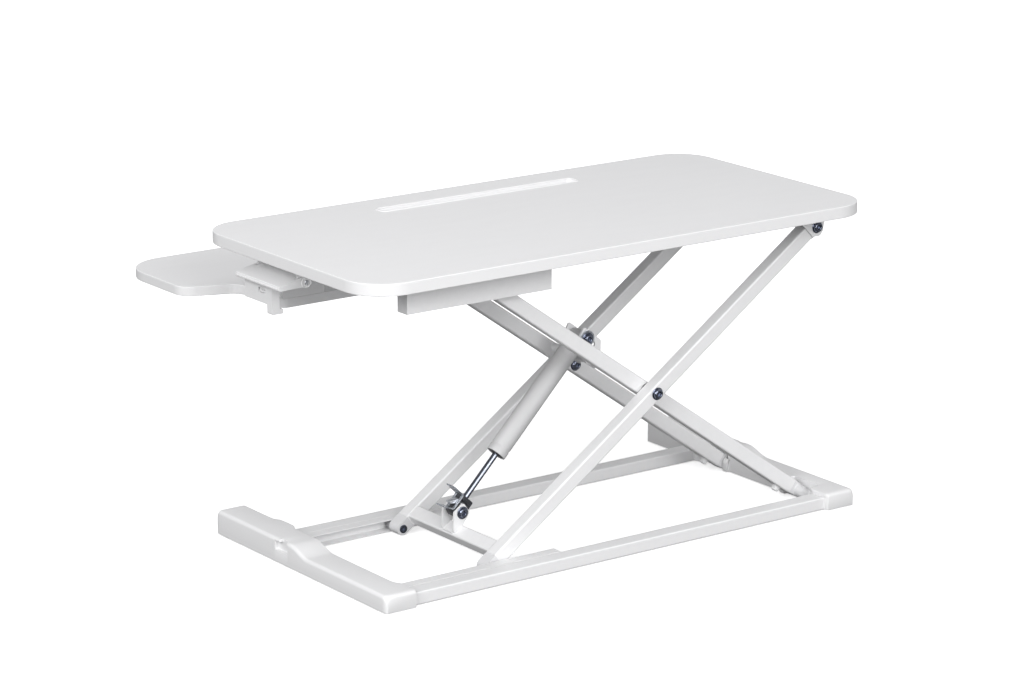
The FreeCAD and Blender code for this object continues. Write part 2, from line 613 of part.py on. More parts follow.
shell = cut(cylinder_x("0", "0", "cylinder_radius", "-cylinder_end", "-cylinder_start"),
            cylinder_x("0", "0", "cylinder_bore", "-cylinder_end + 4", "-cylinder_start + 1"))
shell = rounded(shell, "2.5", lambda edge, spot: edge.Curve.TypeId == "Part::GeomCircle" and
                abs(edge.Curve.Radius - size_of("cylinder_radius")) < 0.01 and
                edge.BoundBox.XMax < -size_of("cylinder_start") - 5)
node(on_gas_spring(group(shell)), "gas_cylinder")
guide = cylinder_x("0", "0", "cylinder_bore", "-cylinder_start - guide_thick", "-cylinder_start")
node(on_gas_spring(cut(guide,
                       cylinder_x("0", "0", "rod_radius + running_gap", "-cylinder_start - guide_thick - 1",
                                  "-cylinder_start + 1"))), "gas_rod_guide")
EYE_X = "-" + GAS_LENGTH
eye = fuse(cylinder_x("0", "0", "eye_half", "%s" % EYE_X, "-cylinder_end"),
           cylinder_y(EYE_X, "0", "eye_half", "-eye_width", "eye_width"))
node(on_gas_spring(cut(eye, cylinder_y(EYE_X, "0", "gas_bolt", "-eye_width - 1", "eye_width + 1"))),
     "gas_cylinder_eye")
spacers = []
for _, sign in SIDES:
    for near, far, radius in (("eye_width", "high_cheek_in - 0.3", "gas_bolt + 1.5"),
                              ("high_cheek_in + gas_cheek + 0.3", "high_cheek_in + gas_cheek + 1.8", "11")):
        low, high = span(sign, near, far)
        spacers.append(cut(cylinder_y(EYE_X, "0", radius, low, high),
                           cylinder_y(EYE_X, "0", "gas_bolt", "%s - 1" % low, "%s + 1" % high)))
node(on_gas_spring(group(*spacers)), "gas_spring_upper_washers")
node(on_gas_spring(group(hex_bolt(EYE_X, "0", "high_cheek_in + gas_cheek + 1.8", "4.5"))),
     "gas_spring_upper_bolt")

# ---------------------------------------------------------------- worktop

screws = []


def screw(x, y, sheet_thick="sheet"):
    """Pan-head screw up through a flange into the worktop's underside."""
    flange = "%s - %s" % (UNDERSIDE, sheet_thick)
    screws.append(fuse(cylinder_z(x, y, "screw_head", "%s - screw_head_thick" % flange, flange),
                       cylinder_z(x, y, "screw_radius", flange, "%s + screw_length" % flange)))


for name, sign in SIDES:
    for x in ("high_rail_start + 22", "(high_rail_start + high_rail_end) / 2", "high_rail_end - 22"):
        screw(x, "frame_y + %d * (high_rail_in + 7)" % sign, "rail_sheet")
    for x in ("bracket_left + 42", "bracket_left + 50"):
        for y in ("outer_offset - 5", "outer_offset + 5"):
            if x.endswith("50") == y.endswith("+ 5"):
                screw(x, "frame_y + %d * (%s)" % (sign, y), "cheek")
for side in (1, -1):
    for x in ("hanger_in + 14", "hanger_out - 14"):
        for y in ("tray_rear - 18", "tray_rear - hanger_length + 14"):
            screw("%d * (%s)" % (side, x), y)
    for y in ("lever_y + lever_front + 22", "lever_y + lever_rear - 22"):
        screw("%d * (housing_in + 12)" % side, y)
screw_group = group(*screws)

board = prism("XY_Plane", [("-worktop_length / 2", "-worktop_depth / 2"),
                           ("worktop_length / 2", "-worktop_depth / 2"),
                           ("worktop_length / 2", "worktop_depth / 2"),
                           ("-worktop_length / 2", "worktop_depth / 2")],
              "worktop_thick", [("worktop_corner", all_along), ("board_edge", ends)], "board")
place(board, 0, "worktop_y", "worktop_top - worktop_thick / 2")
pocket = box("-slot_length / 2 + slot_rim", "slot_length / 2 - slot_rim",
             "worktop_y - worktop_depth / 2 + slot_y - slot_width / 2 + slot_rim",
             "worktop_y - worktop_depth / 2 + slot_y + slot_width / 2 - slot_rim",
             "worktop_top - slot_deep", "worktop_top + 5")
node(cut(board, screw_group, pocket), "worktop")
node(screw_group, "worktop_screws")

SLOT_Y = "(worktop_y - worktop_depth / 2 + slot_y)"
rim = box("-slot_length / 2", "slot_length / 2", "%s - slot_width / 2" % SLOT_Y,
          "%s + slot_width / 2" % SLOT_Y, "worktop_top", "worktop_top + slot_rim_height")
rim = rounded(rim, "6", lambda edge, spot: straight_along(edge, "z"))
well = box("-slot_length / 2 + slot_rim", "slot_length / 2 - slot_rim",
           "%s - slot_width / 2 + slot_rim" % SLOT_Y, "%s + slot_width / 2 - slot_rim" % SLOT_Y,
           "worktop_top - slot_deep", "worktop_top")
groove = box("-slot_length / 2 + slot_rim + slot_floor", "slot_length / 2 - slot_rim - slot_floor",
             "%s - slot_width / 2 + slot_rim + slot_floor" % SLOT_Y,
             "%s + slot_width / 2 - slot_rim - slot_floor" % SLOT_Y,
             "worktop_top - slot_deep + slot_floor", "worktop_top + 5")
node(cut(fuse(rim, well), groove), "device_slot_liner")

# ---------------------------------------------------------------- upper rails and top hinge brackets

for name, sign in SIDES:
    walls = []
    rail_low = "%s - high_rail_height" % UNDERSIDE
    ledge = "(high_roller + high_roller_play)"
    low, high = span(sign, "high_rail_in", "high_rail_out")
    for bottom in (rail_low, "%s - rail_sheet" % UNDERSIDE, "%s + %s" % (HIGH_AXIS, ledge),
                   "%s - %s - rail_sheet" % (HIGH_AXIS, ledge)):
        walls.append(box("high_rail_start", "high_rail_end", "frame_y + " + low, "frame_y + " + high,
                         bottom, "%s + rail_sheet" % bottom))
    walls.append(box("high_rail_end - rail_sheet", "high_rail_end", "frame_y + " + low, "frame_y + " + high,
                     rail_low, UNDERSIDE))
    low, high = span(sign, "high_rail_out - rail_sheet", "high_rail_out")
    walls.append(box("high_rail_start", "high_rail_end", "frame_y + " + low, "frame_y + " + high,
                     rail_low, UNDERSIDE))
    node(cut(fuse(*walls), screw_group), "upper_rail_" + name)

    cheeks = []
    outer_face = "outer_offset + arm_side / 2 + cheek_gap"
    inner_face = "outer_offset - arm_side / 2 - cheek_gap - cheek"
    for near in (outer_face, inner_face):
        plate = prism("XZ_Plane", [("bracket_left", UNDERSIDE),
                                   ("%s - cheek_round + 2" % HINGE_X, "%s - 6" % HIGH_AXIS),
                                   ("%s - 6" % HINGE_X, "%s - cheek_round" % HIGH_AXIS),
                                   ("%s + 6" % HINGE_X, "%s - cheek_round" % HIGH_AXIS),
                                   ("bracket_right", UNDERSIDE)],
                      "cheek", [("4", lambda edge, spot, letter: straight_along(edge, letter) and
                                 spot.z < number(UNDERSIDE) - 1)], "cheek")
        cheeks.append(place(plate, 0, "frame_y + %d * (%s + cheek / 2)" % (sign, near)))
    low, high = span(sign, inner_face, outer_face + " + cheek")
    flange = box("bracket_left", "bracket_right", "frame_y + " + low, "frame_y + " + high,
                 "%s - cheek" % UNDERSIDE, UNDERSIDE)
    hole = cylinder_y(HINGE_X, HIGH_AXIS, "pivot_radius", "frame_y + %s - 1" % low, "frame_y + %s + 1" % high)
    node(cut(fuse(flange, *cheeks), group(hole, screw_group)), "top_hinge_bracket_" + name)

top_bolts = []
for near, far in ((BRACKET_IN, BRACKET_OUT), ("-" + BRACKET_OUT, "-" + BRACKET_IN)):
    top_bolts.append(socket_bolt(HINGE_X, HIGH_AXIS, "frame_y + (%s)" % near, "frame_y + (%s)" % far))
node(group(*top_bolts), "top_hinge_bolts")

# ---------------------------------------------------------------- keyboard tray

tray_points = [("-tray_half", "tray_front"), ("tray_half", "tray_front"), ("tray_half", "tray_side_end"),
               ("tray_neck_half", "tray_neck_start"), ("tray_neck_half", "tray_rear"),
               ("-tray_neck_half", "tray_rear"), ("-tray_neck_half", "tray_neck_start"),
               ("-tray_half", "tray_side_end")]


def tray_corner(alias):
    """Test for the upright edges at one kind of tray corner."""
    height = size_of(alias)

    def test(edge, spot, letter):
        return straight_along(edge, letter) and abs(spot.y - height) < 0.5
    return test


tray = prism("XY_Plane", tray_points, "tray_thick",
             [("tray_front_corner", tray_corner("tray_front")),
              ("tray_side_corner", tray_corner("tray_side_end")),
              ("tray_neck_corner", tray_corner("tray_neck_start")),
              ("tray_rear_corner", tray_corner("tray_rear")),
              ("board_edge", ends)], "tray")
place(tray, 0, 0, "tray_top - tray_thick / 2")
tray_screws = []
for side in (1, -1):
    for x in ("hanger_in + 14", "hanger_out - 14"):
        for y in ("tray_rear - 18", "tray_rear - hanger_length + 14"):
            tray_screws.append(fuse(cylinder_z("%d * (%s)" % (side, x), y, "screw_head", "tray_top + sheet",
                                               "tray_top + sheet + screw_head_thick"),
                                    cylinder_z("%d * (%s)" % (side, x), y, "screw_radius",
                                               "tray_top + sheet - tray_screw_length", "tray_top + sheet")))
tray_screw_group = group(*tray_screws)
node(cut(tray, tray_screw_group), "keyboard_tray")
node(tray_screw_group, "tray_screws")

for name, side in (("right", 1), ("left", -1)):
    first, last = ("hanger_in", "hanger_out") if side > 0 else ("-hanger_out", "-hanger_in")
    plates = [box(first, last, "tray_rear - hanger_length", "tray_rear", "tray_top", "tray_top + sheet"),
              box(first, last, "tray_rear - hanger_length", "tray_rear", "%s - sheet" % UNDERSIDE, UNDERSIDE),
              box(first, last, "tray_rear - sheet", "tray_rear", "tray_top", UNDERSIDE)]
    node(cut(fuse(*plates), group(screw_group, tray_screw_group)), "tray_hanger_" + name)

# ---------------------------------------------------------------- release levers

def bracket_relief(room, z0, z1):
    """Room round the front top hinge bracket, which stands beside the left lever."""
    near, far = span(-1, "%s - %s" % (BRACKET_IN, room), "%s + %s" % (BRACKET_OUT, room))
    return box("bracket_left - " + room, "bracket_right", "frame_y + " + near, "frame_y + " + far, z0, z1)


for name, side in (("right", 1), ("left", -1)):
    def across(formula):
        return "%d * (%s)" % (side, formula)

    def lever_box(x0, x1, y0, y1, z0, z1):
        first, last = (across(x0), across(x1)) if side > 0 else (across(x1), across(x0))
        return box(first, last, "lever_y + " + y0, "lever_y + " + y1, z0, z1)

    # Latch plate under the paddle, with a hook at its rear end that reaches down past the base.
    plate = lever_box("latch_out - latch_plate", "latch_out", "lever_front + 4.5", "hook_rear",
                      "plate_low", "plate_high")
    stem = lever_box("latch_in", "latch_out", "hook_front", "hook_rear", "latch_low", "stem_high")
    nub = lever_box("nub_in", "latch_in", "hook_front", "hook_rear", "latch_low", "nub_top")
    window = [cylinder_x("lever_y + " + end, "window_z", "window_radius", "-worktop_length", "worktop_length")
              for end in ("window_front", "window_rear")]
    window.append(box("-worktop_length", "worktop_length", "lever_y + window_front", "lever_y + window_rear",
                      "window_z - window_radius", "window_z + window_radius"))
    latch = cut(fuse(plate, stem, nub), fuse(*window))
    latch = rounded(latch, "2", lambda edge, spot: straight_along(edge, "y") and edge.Length < 13 and
                    spot.z < size_of("nub_top") + 0.5)
    node(latch, "latch_hook_" + name)

    # Paddle: a bent plate that droops outwards to a rounded lip, with an arm at each end.
    paddle_points = [(across("lever_tip"), "372.5"), (across("lever_tip"), "378.5"),
                     (across("lever_hub_x - 10"), "389.5"), (across("lever_hub_x - 10"), "384"),
                     (across("lever_tip - 8"), "373")]
    paddle = prism("XZ_Plane", paddle_points, "lever_rear - lever_front", [("1.2", all_along)], "paddle")
    place(paddle, 0, "lever_y + (lever_rear + lever_front) / 2")
    arms = []
    for near in ("lever_rear - lever_arm", "lever_front"):
        plate = prism("XZ_Plane", [(across("lever_hub_x - 7"), "lever_hub_z + 1"),
                                   (across("lever_hub_x - 3"), "lever_hub_z - lever_hub + 1.5"),
                                   (across("lever_hub_x + 3"), "lever_hub_z - lever_hub + 1.5"),
                                   (across("lever_tip - 12"), "373.5"), (across("lever_tip - 12"), "377"),
                                   (across("lever_hub_x - 7"), "386.5")], "lever_arm", (), "lever_arm")
        place(plate, 0, "lever_y + %s + lever_arm / 2" % near)
        hub = cylinder_y(across("lever_hub_x"), "lever_hub_z", "lever_hub",
                         "lever_y + %s - 0.4" % near, "lever_y + %s + lever_arm + 0.4" % near)
        arms.append(fuse(plate, hub))
    bore = cylinder_y(across("lever_hub_x"), "lever_hub_z", "lever_pin + running_gap",
                      "lever_y + lever_front - 1", "lever_y + lever_rear + 1")
    slots = [lever_box("lever_hub_x - 14", "housing_out", near, far, "lever_hub_z - 14", "lever_hub_z + 14")
             for near, far in (("cheek_rear - sheet - 0.6", "cheek_rear + 0.6"),
                               ("cheek_front - 0.6", "cheek_front + sheet + 0.6"))]
    if side < 0:
        slots.append(bracket_relief("3", "lever_hub_z - 14", "lever_hub_z + 14"))
    node(cut(fuse(paddle, *arms), group(bore, latch, *slots)), "release_lever_" + name)

    top = lever_box("housing_in", "housing_out", "lever_front", "lever_rear",
                    "%s - sheet" % UNDERSIDE, UNDERSIDE)
    cheeks = []
    for near, far in (("cheek_rear - sheet", "cheek_rear"), ("cheek_front", "cheek_front + sheet")):
        cheeks.append(lever_box("housing_in + 24", "housing_out - 3", near, far,
                                "lever_hub_z - 8", UNDERSIDE))
    pin_low, pin_high = ("lever_y + lever_front - 1.5", "lever_y + lever_rear + 1.5")
    pin = cylinder_y(across("lever_hub_x"), "lever_hub_z", "lever_pin", pin_low, pin_high)
    holes = [screw_group, pin]
    if side < 0:
        holes.append(bracket_relief("1", "%s - sheet" % UNDERSIDE, UNDERSIDE))
    node(cut(fuse(top, *cheeks), group(*holes)), "lever_housing_" + name)
    node(group(cylinder_y(across("lever_hub_x"), "lever_hub_z", "lever_pin", pin_low, pin_high)),
         "lever_pin_" + name)

# ---------------------------------------------------------------- check and write

doc.recompute()
for item in doc.Objects:
    if "Invalid" in item.State or "Error" in item.State:
        raise RuntimeError("%s (%s) failed: %s" % (item.Name, item.Label, item.State))
os.makedirs("parts", exist_ok=True)
for piece in nodes:
    shape = piece.Shape
    if shape.isNull() or not shape.isValid() or not shape.Solids:
        raise RuntimeError("%s has no valid solid" % piece.Label)
    shape.exportStep(os.path.join("parts", piece.Label + ".step"))
    print("%-28s %2d solid(s) %10.1f mm3" % (piece.Label, len(shape.Solids), shape.Volume))
print(len(nodes), "nodes")
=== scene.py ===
import json
import math

import bmesh
import bpy
from mathutils import Matrix, Vector


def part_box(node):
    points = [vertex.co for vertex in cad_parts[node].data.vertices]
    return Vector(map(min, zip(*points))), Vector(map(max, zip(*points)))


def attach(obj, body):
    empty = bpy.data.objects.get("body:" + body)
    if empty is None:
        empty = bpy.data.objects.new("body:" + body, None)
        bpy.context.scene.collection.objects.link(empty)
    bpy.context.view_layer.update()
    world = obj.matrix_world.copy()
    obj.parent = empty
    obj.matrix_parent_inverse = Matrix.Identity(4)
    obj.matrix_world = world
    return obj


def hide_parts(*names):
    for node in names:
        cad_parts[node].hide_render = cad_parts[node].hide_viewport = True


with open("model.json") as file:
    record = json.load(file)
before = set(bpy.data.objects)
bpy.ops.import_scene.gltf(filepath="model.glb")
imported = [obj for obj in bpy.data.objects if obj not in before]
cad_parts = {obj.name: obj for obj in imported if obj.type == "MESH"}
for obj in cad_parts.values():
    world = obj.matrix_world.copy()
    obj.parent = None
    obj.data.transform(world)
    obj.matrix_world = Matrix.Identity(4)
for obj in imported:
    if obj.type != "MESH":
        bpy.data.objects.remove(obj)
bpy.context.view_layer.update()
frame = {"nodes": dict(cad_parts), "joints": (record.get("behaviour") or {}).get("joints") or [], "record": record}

MM = 0.001
X_AXIS, Y_AXIS, Z_AXIS = Vector((1, 0, 0)), Vector((0, 1, 0)), Vector((0, 0, 1))
JOINTS = {joint["name"]: joint for joint in frame["joints"]}


def pivot(name):
    """Where a joint's axis passes."""
    return Vector(JOINTS[name]["pos_m"])


# Landmarks of the lift, from the joints.
HINGE = pivot("lift")
CENTRE = pivot("scissor")
TOP_HINGE = pivot("top_hinge")
MID_Y = HINGE.y
REACH = (CENTRE - HINGE).length


# ---------------------------------------------------------------- camera, stage and light

def make_camera():
    """Looks from the back right of the desk, a little above it, through a long lens."""
    data = bpy.data.cameras.new("camera")
    data.lens = 126.5
    data.sensor_width = 36
    data.clip_end = 60
    data.dof.use_dof = False
    camera = bpy.data.objects.new("camera", data)
    bpy.context.scene.collection.objects.link(camera)
    place = Vector((2.7047, 3.7677, 1.4704))
    look = Vector((-0.5669, -0.7818, -0.2597))
    camera.matrix_world = Matrix.Translation(place) @ look.to_track_quat("-Z", "Y").to_matrix().to_4x4()
    bpy.context.scene.camera = camera


def area_light(name, place, target, size, power):
    """A white softbox of a size in metres, aimed at a point."""
    data = bpy.data.lights.new(name, "AREA")
    data.shape = "RECTANGLE"
    data.size, data.size_y = size
    data.energy = power
    lamp = bpy.data.objects.new(name, data)
    bpy.context.scene.collection.objects.link(lamp)
    aim = Vector(target) - Vector(place)
    lamp.matrix_world = Matrix.Translation(place) @ aim.to_track_quat("-Z", "Y").to_matrix().to_4x4()


FLOOR_HALF = 30


def make_floor():
    """A pale floor under the feet, which lights nothing, so that undersides stay dark as in the photo."""
    size = FLOOR_HALF
    mesh = bpy.data.meshes.new("floor")
    mesh.from_pydata([(-size, -size, 0), (size, -size, 0), (size, size, 0), (-size, size, 0)], [],
                     [(0, 1, 2, 3)])
    floor = bpy.data.objects.new("floor", mesh)
    bpy.context.scene.collection.objects.link(floor)
    mesh.materials.append(floor_paper())
    floor.visible_diffuse = False
    floor.visible_glossy = False


def make_world():
    """A pale surround, brighter above the horizon than below it."""
    world = bpy.data.worlds.new("studio")
    bpy.context.scene.world = world
    world.use_nodes = True
    tree = world.node_tree
    background = tree.nodes["Background"]
    ways = tree.nodes.new("ShaderNodeSeparateXYZ")
    tree.links.new(tree.nodes.new("ShaderNodeTexCoord").outputs["Generated"], ways.inputs["Vector"])
    ramp = tree.nodes.new("ShaderNodeMapRange")
    for name, value in (("From Min", -0.2), ("From Max", 0.2), ("To Min", 0.18), ("To Max", 0.64)):
        ramp.inputs[name].default_value = value
    tree.links.new(ways.outputs["Z"], ramp.inputs["Value"])
    tree.links.new(ramp.outputs["Result"], background.inputs["Strength"])
    background.inputs["Color"].default_value = (0.92, 0.92, 0.93, 1)


def make_lights():
    """A big key and a low one behind the desk, a weak one above it and a fill on its right."""
    area_light("key", (0.6, 3.8, 1.9), (0, 0, 0.2), (2.6, 1.8), 72)
    area_light("low", (0.3, 4.0, 0.45), (0, 0, 0.25), (2.4, 0.7), 24)
    area_light("top", (-0.4, 0.2, 3.4), (0, 0.1, 0.3), (2.4, 2.4), 9)
    area_light("fill", (3.2, 1.4, 1.9), (0, 0, 0.2), (2.0, 1.8), 84)
    bpy.context.scene.view_settings.view_transform = "Standard"


# ---------------------------------------------------------------- materials

class Shader:
    """A Principled material whose colour, roughness and bump come from noise in object space."""

    def __init__(self, name, colour, roughness, metallic=0.0):
        self.material = bpy.data.materials.new(name)
        self.material.use_nodes = True
        self.tree = self.material.node_tree
        self.shader = self.tree.nodes["Principled BSDF"]
        self.socket("Base Color", (*colour, 1))
        self.socket("Roughness", roughness)
        self.socket("Metallic", metallic)
        self.place = self.tree.nodes.new("ShaderNodeTexCoord").outputs["Object"]
        self.normal = None

    def socket(self, name, value):
        """Set an input of the shader directly."""
        self.shader.inputs[name].default_value = value

    def noise(self, scale, detail=3.0, stretch=(1, 1, 1), rough=0.5):
        """Noise in object space, as a factor."""
        mapping = self.tree.nodes.new("ShaderNodeMapping")
        mapping.inputs["Scale"].default_value = stretch
        self.tree.links.new(self.place, mapping.inputs["Vector"])
        noise = self.tree.nodes.new("ShaderNodeTexNoise")
        noise.inputs["Scale"].default_value = scale
        noise.inputs["Detail"].default_value = detail
        noise.inputs["Roughness"].default_value = rough
        self.tree.links.new(mapping.outputs["Vector"], noise.inputs["Vector"])
        return noise.outputs["Fac"]

    def spread(self, source, low, high, start=0.3, end=0.7):
        """Map a source from start..end to low..high."""
        node = self.tree.nodes.new("ShaderNodeMapRange")
        for name, value in (("From Min", start), ("From Max", end), ("To Min", low), ("To Max", high)):
            node.inputs[name].default_value = value
        self.tree.links.new(source, node.inputs["Value"])
        return node.outputs["Result"]

    def mix_colour(self, factor, other):
        """Blend the colour so far towards another one by a factor."""
        mix = self.tree.nodes.new("ShaderNodeMix")
        mix.data_type = "RGBA"
        before = self.shader.inputs["Base Color"]
        if before.is_linked:
            self.tree.links.new(before.links[0].from_socket, mix.inputs["A"])
        else:
            mix.inputs["A"].default_value = before.default_value
        mix.inputs["B"].default_value = (*other, 1)
        self.tree.links.new(factor, mix.inputs["Factor"])
        self.tree.links.new(mix.outputs["Result"], before)

    def tint(self, source, amount, other):
        """Pull the colour a little towards another one where the source is high."""
        self.mix_colour(self.spread(source, 0, amount), other)

    def product(self, one, two):
        """One socket times another socket or a plain number."""
        node = self.tree.nodes.new("ShaderNodeMath")
        node.operation = "MULTIPLY"
        self.tree.links.new(one, node.inputs[0])
        if isinstance(two, float):
            node.inputs[1].default_value = two
        else:
            self.tree.links.new(two, node.inputs[1])
        return node.outputs[0]

    def vary_roughness(self, source, low, high):
        """Let the roughness run from low to high with a source."""
        self.tree.links.new(self.spread(source, low, high), self.shader.inputs["Roughness"])

    def bump(self, source, height, strength):
        """Bump of a real height in metres, on top of any before it."""
        node = self.tree.nodes.new("ShaderNodeBump")
        node.inputs["Distance"].default_value = height
        node.inputs["Strength"].default_value = strength
        self.tree.links.new(source, node.inputs["Height"])
        if self.normal is not None:
            self.tree.links.new(self.normal, node.inputs["Normal"])
        self.normal = node.outputs["Normal"]
        self.tree.links.new(self.normal, self.shader.inputs["Normal"])

    def worn_edges(self, amount, colour):
        """Polish or wear on sharp edges, from how much the surface bends there."""
        pointed = self.tree.nodes.new("ShaderNodeNewGeometry").outputs["Pointiness"]
        edge = self.spread(pointed, 0, 1, 0.53, 0.62)
        patch = self.spread(self.noise(120), 0, 1, 0.35, 0.7)
        self.mix_colour(self.product(self.product(edge, patch), amount), colour)


def floor_paper():
    """Matt white paper sweep that turns whiter away from the desk."""
    s = Shader("floor_paper", (0.92, 0.92, 0.92), 0.85)
    s.tint(s.noise(6, 3), 0.02, (0.8, 0.8, 0.8))
    distance = s.tree.nodes.new("ShaderNodeVectorMath")
    distance.operation = "LENGTH"
    s.tree.links.new(s.place, distance.inputs[0])
    glow = s.spread(distance.outputs["Value"], 0.55, 1.0, 0.5, 3.0)
    s.tree.links.new(glow, s.shader.inputs["Emission Strength"])
    s.socket("Emission Color", (1, 1, 1, 1))
    return s.material


def laminate():
    """White foil on board: a fine pearl grain with faint wiping marks."""
    s = Shader("white_foil", (0.76, 0.76, 0.765), 0.48)
    s.tint(s.noise(3.0, 2), 0.035, (0.62, 0.62, 0.64))
    s.tint(s.noise(900, 2), 0.05, (0.6, 0.6, 0.6))
    s.vary_roughness(s.noise(14, 4, (1, 3, 1)), 0.42, 0.56)
    s.bump(s.noise(1400, 3), 0.00006, 0.5)
    s.bump(s.noise(9, 2), 0.0004, 0.25)
    return s.material


def powder_coat():
    """White powder coat with orange peel and slightly rubbed corners."""
    s = Shader("white_powder_coat", (0.78, 0.78, 0.785), 0.4)
    s.tint(s.noise(22, 3), 0.05, (0.66, 0.66, 0.68))
    s.vary_roughness(s.noise(60, 3), 0.34, 0.47)
    s.bump(s.noise(750, 2), 0.00007, 0.6)
    s.bump(s.noise(140, 2), 0.00012, 0.3)
    s.worn_edges(0.12, (0.62, 0.63, 0.64))
    s.socket("Coat Weight", 0.15)
    s.socket("Coat Roughness", 0.3)
    return s.material


def moulding(name, colour, rough):
    """Spark-textured moulded plastic."""
    s = Shader(name, colour, rough)
    s.tint(s.noise(30, 3), 0.05, tuple(0.84 * c for c in colour))
    s.vary_roughness(s.noise(260, 3), rough - 0.06, rough + 0.07)
    s.bump(s.noise(1900, 3, rough=0.65), 0.00006, 0.7)
    s.bump(s.noise(45, 2), 0.0002, 0.2)
    return s.material


def plated(name, colour, rough):
    """Plated steel with fine tool marks and spots of dulling."""
    s = Shader(name, colour, rough, 1.0)
    s.tint(s.noise(180, 3), 0.25, tuple(0.7 * c for c in colour))
    s.vary_roughness(s.noise(420, 4), rough - 0.06, rough + 0.12)
    s.bump(s.noise(1500, 3), 0.00003, 0.5)
    return s.material


def rubber():
    """Dull black rubber with a coarse skin."""
    s = Shader("rubber_foot", (0.045, 0.045, 0.047), 0.82)
    s.tint(s.noise(160, 3), 0.3, (0.09, 0.09, 0.09))
    s.bump(s.noise(1100, 3), 0.0001, 0.8)
    return s.material


def enamel():
    """Satin light grey enamel of the gas spring's cylinder."""
    s = Shader("cylinder_enamel", (0.53, 0.53, 0.535), 0.5)
    s.tint(s.noise(35, 3), 0.06, (0.4, 0.4, 0.42))
    s.vary_roughness(s.noise(90, 3), 0.44, 0.58)
    s.bump(s.noise(900, 2), 0.00004, 0.5)
    return s.material


MAKERS = {
    "white_board": laminate,
    "white_steel": powder_coat,
    "white_moulding": lambda: moulding("white_moulding", (0.77, 0.77, 0.775), 0.42),
    "knuckle": lambda: moulding("grey_moulding", (0.66, 0.66, 0.67), 0.46),
    "nylon": lambda: moulding("dark_nylon", (0.07, 0.07, 0.075), 0.5),
    "rubber_foot": rubber,
    "zinc": lambda: plated("zinc_plate", (0.6, 0.63, 0.68), 0.24),
    "bright_zinc": lambda: plated("bright_zinc", (0.8, 0.82, 0.86), 0.28),
    # Chrome darkened and blued for bolts, nuts and axles: a painted dark reflection.
    "steel_painted_dark_reflection": lambda: plated("chrome_painted_dark_reflection", (0.2, 0.22, 0.28), 0.16),
    # Hard chrome of the rod, darkened and blued: a painted dark reflection.
    "rod_chrome": lambda: plated("hard_chrome_painted_dark_reflection", (0.26, 0.28, 0.33), 0.14),
    # Grey for the inside of the device slot: painted shade in the trough, not the liner's own colour.
    "slot_painted_shade_grey": lambda: moulding("slot_painted_shade_grey", (0.34, 0.34, 0.345), 0.7),
    "roller_nylon": lambda: moulding("roller_nylon", (0.3, 0.3, 0.31), 0.42),
    "dark_nylon_gloss": lambda: moulding("black_casting", (0.035, 0.037, 0.042), 0.34),
    # Glossier, lighter copy of the white moulding: the gloss is real, the lighter tone is a painted highlight.
    "white_gloss_painted_highlight": lambda: moulding("gloss_moulding_painted_highlight", (0.86, 0.86, 0.865), 0.26),
    "cylinder_paint": enamel,
}
MATERIALS = {}


def material(name):
    """The material of a finish, made when it is first asked for."""
    if name not in MATERIALS:
        MATERIALS[name] = MAKERS[name]()
    return MATERIALS[name]


def dress_cad_nodes():
    """Give every CAD node the material of its slot in the record, but coat the lower gas bracket white."""
    for part in frame["record"]["subparts"]:
        node = frame["nodes"][part["node"]]
        coated = part["node"] == "gas_spring_lower_bracket"
        for index in range(len(node.material_slots)):
            node.material_slots[index].material = material("white_steel" if coated else part["material_slot"])


# ---------------------------------------------------------------- mesh helpers

def frame_of(origin, along):
    """Local frame with X along a direction, Y as the object's and Z square to both."""
    x = Vector(along).normalized()
    matrix = Matrix((x, Y_AXIS, x.cross(Y_AXIS))).transposed().to_4x4()
    matrix.translation = origin
    return matrix


def facing(spot, way):
    """Local frame with Z along a direction, for what is turned about that direction."""
    z = Vector(way).normalized()
    x = (Z_AXIS if abs(z.z) < 0.9 else X_AXIS).cross(z).normalized()
    matrix = Matrix((x, z.cross(x), z)).transposed().to_4x4()
    matrix.translation = spot
    return matrix


WORLD = Matrix.Identity(4)
ON_INNER = frame_of(CENTRE, CENTRE - HINGE)
ON_GAS = frame_of(pivot("gas_lower_pivot"), JOINTS["gas_stroke"]["axis"])

ROUND, HEXAGON, CROSS = 0, 1, 2


def polar(radius, angle, kind):
    """Distance from the centre at an angle, for a circle, a hexagon or a cross recess."""
    if kind == HEXAGON:
        return radius * math.cos(math.pi / 6) / math.cos(angle % (math.pi / 3) - math.pi / 6)
    if kind == CROSS:
        return radius * (0.42 + 0.58 * abs(math.cos(2 * angle)) ** 3)
    return radius


def turned(bm, place, rings, finish=0, segments=48):
    """A closed turned shape about local Z, from rings of (radius, height) or (radius, height, kind)."""
    loops = []
    for radius, height, *kind in rings:
        kind = kind[0] if kind else ROUND
        if radius == 0:
            loops.append([bm.verts.new(place @ Vector((0, 0, height * MM)))])
            continue
        loop = []
        for step in range(segments):
            angle = math.tau * step / segments
            reach = polar(radius, angle, kind) * MM
            spot = Vector((reach * math.cos(angle), reach * math.sin(angle), height * MM))
            loop.append(bm.verts.new(place @ spot))
        loops.append(loop)
    return skin(bm, loops, finish)


def skin(bm, loops, finish=0):
    """Faces between rings of points, a single point being a pole, and flat caps on open ends."""
    faces = []
    for one, two in zip(loops, loops[1:]):
        count = max(len(one), len(two))
        for step in range(count):
            after = (step + 1) % count
            if len(one) == 1:
                corners = [one[0], two[after], two[step]]
            elif len(two) == 1:
                corners = [one[step], one[after], two[0]]
            else:
                corners = [one[step], one[after], two[after], two[step]]
            faces.append(bm.faces.new(corners))
    for loop in (loops[0], loops[-1]):
        if len(loop) > 2:
            faces.append(bm.faces.new(loop))
    for face in faces:
        face.material_index = finish
    return faces


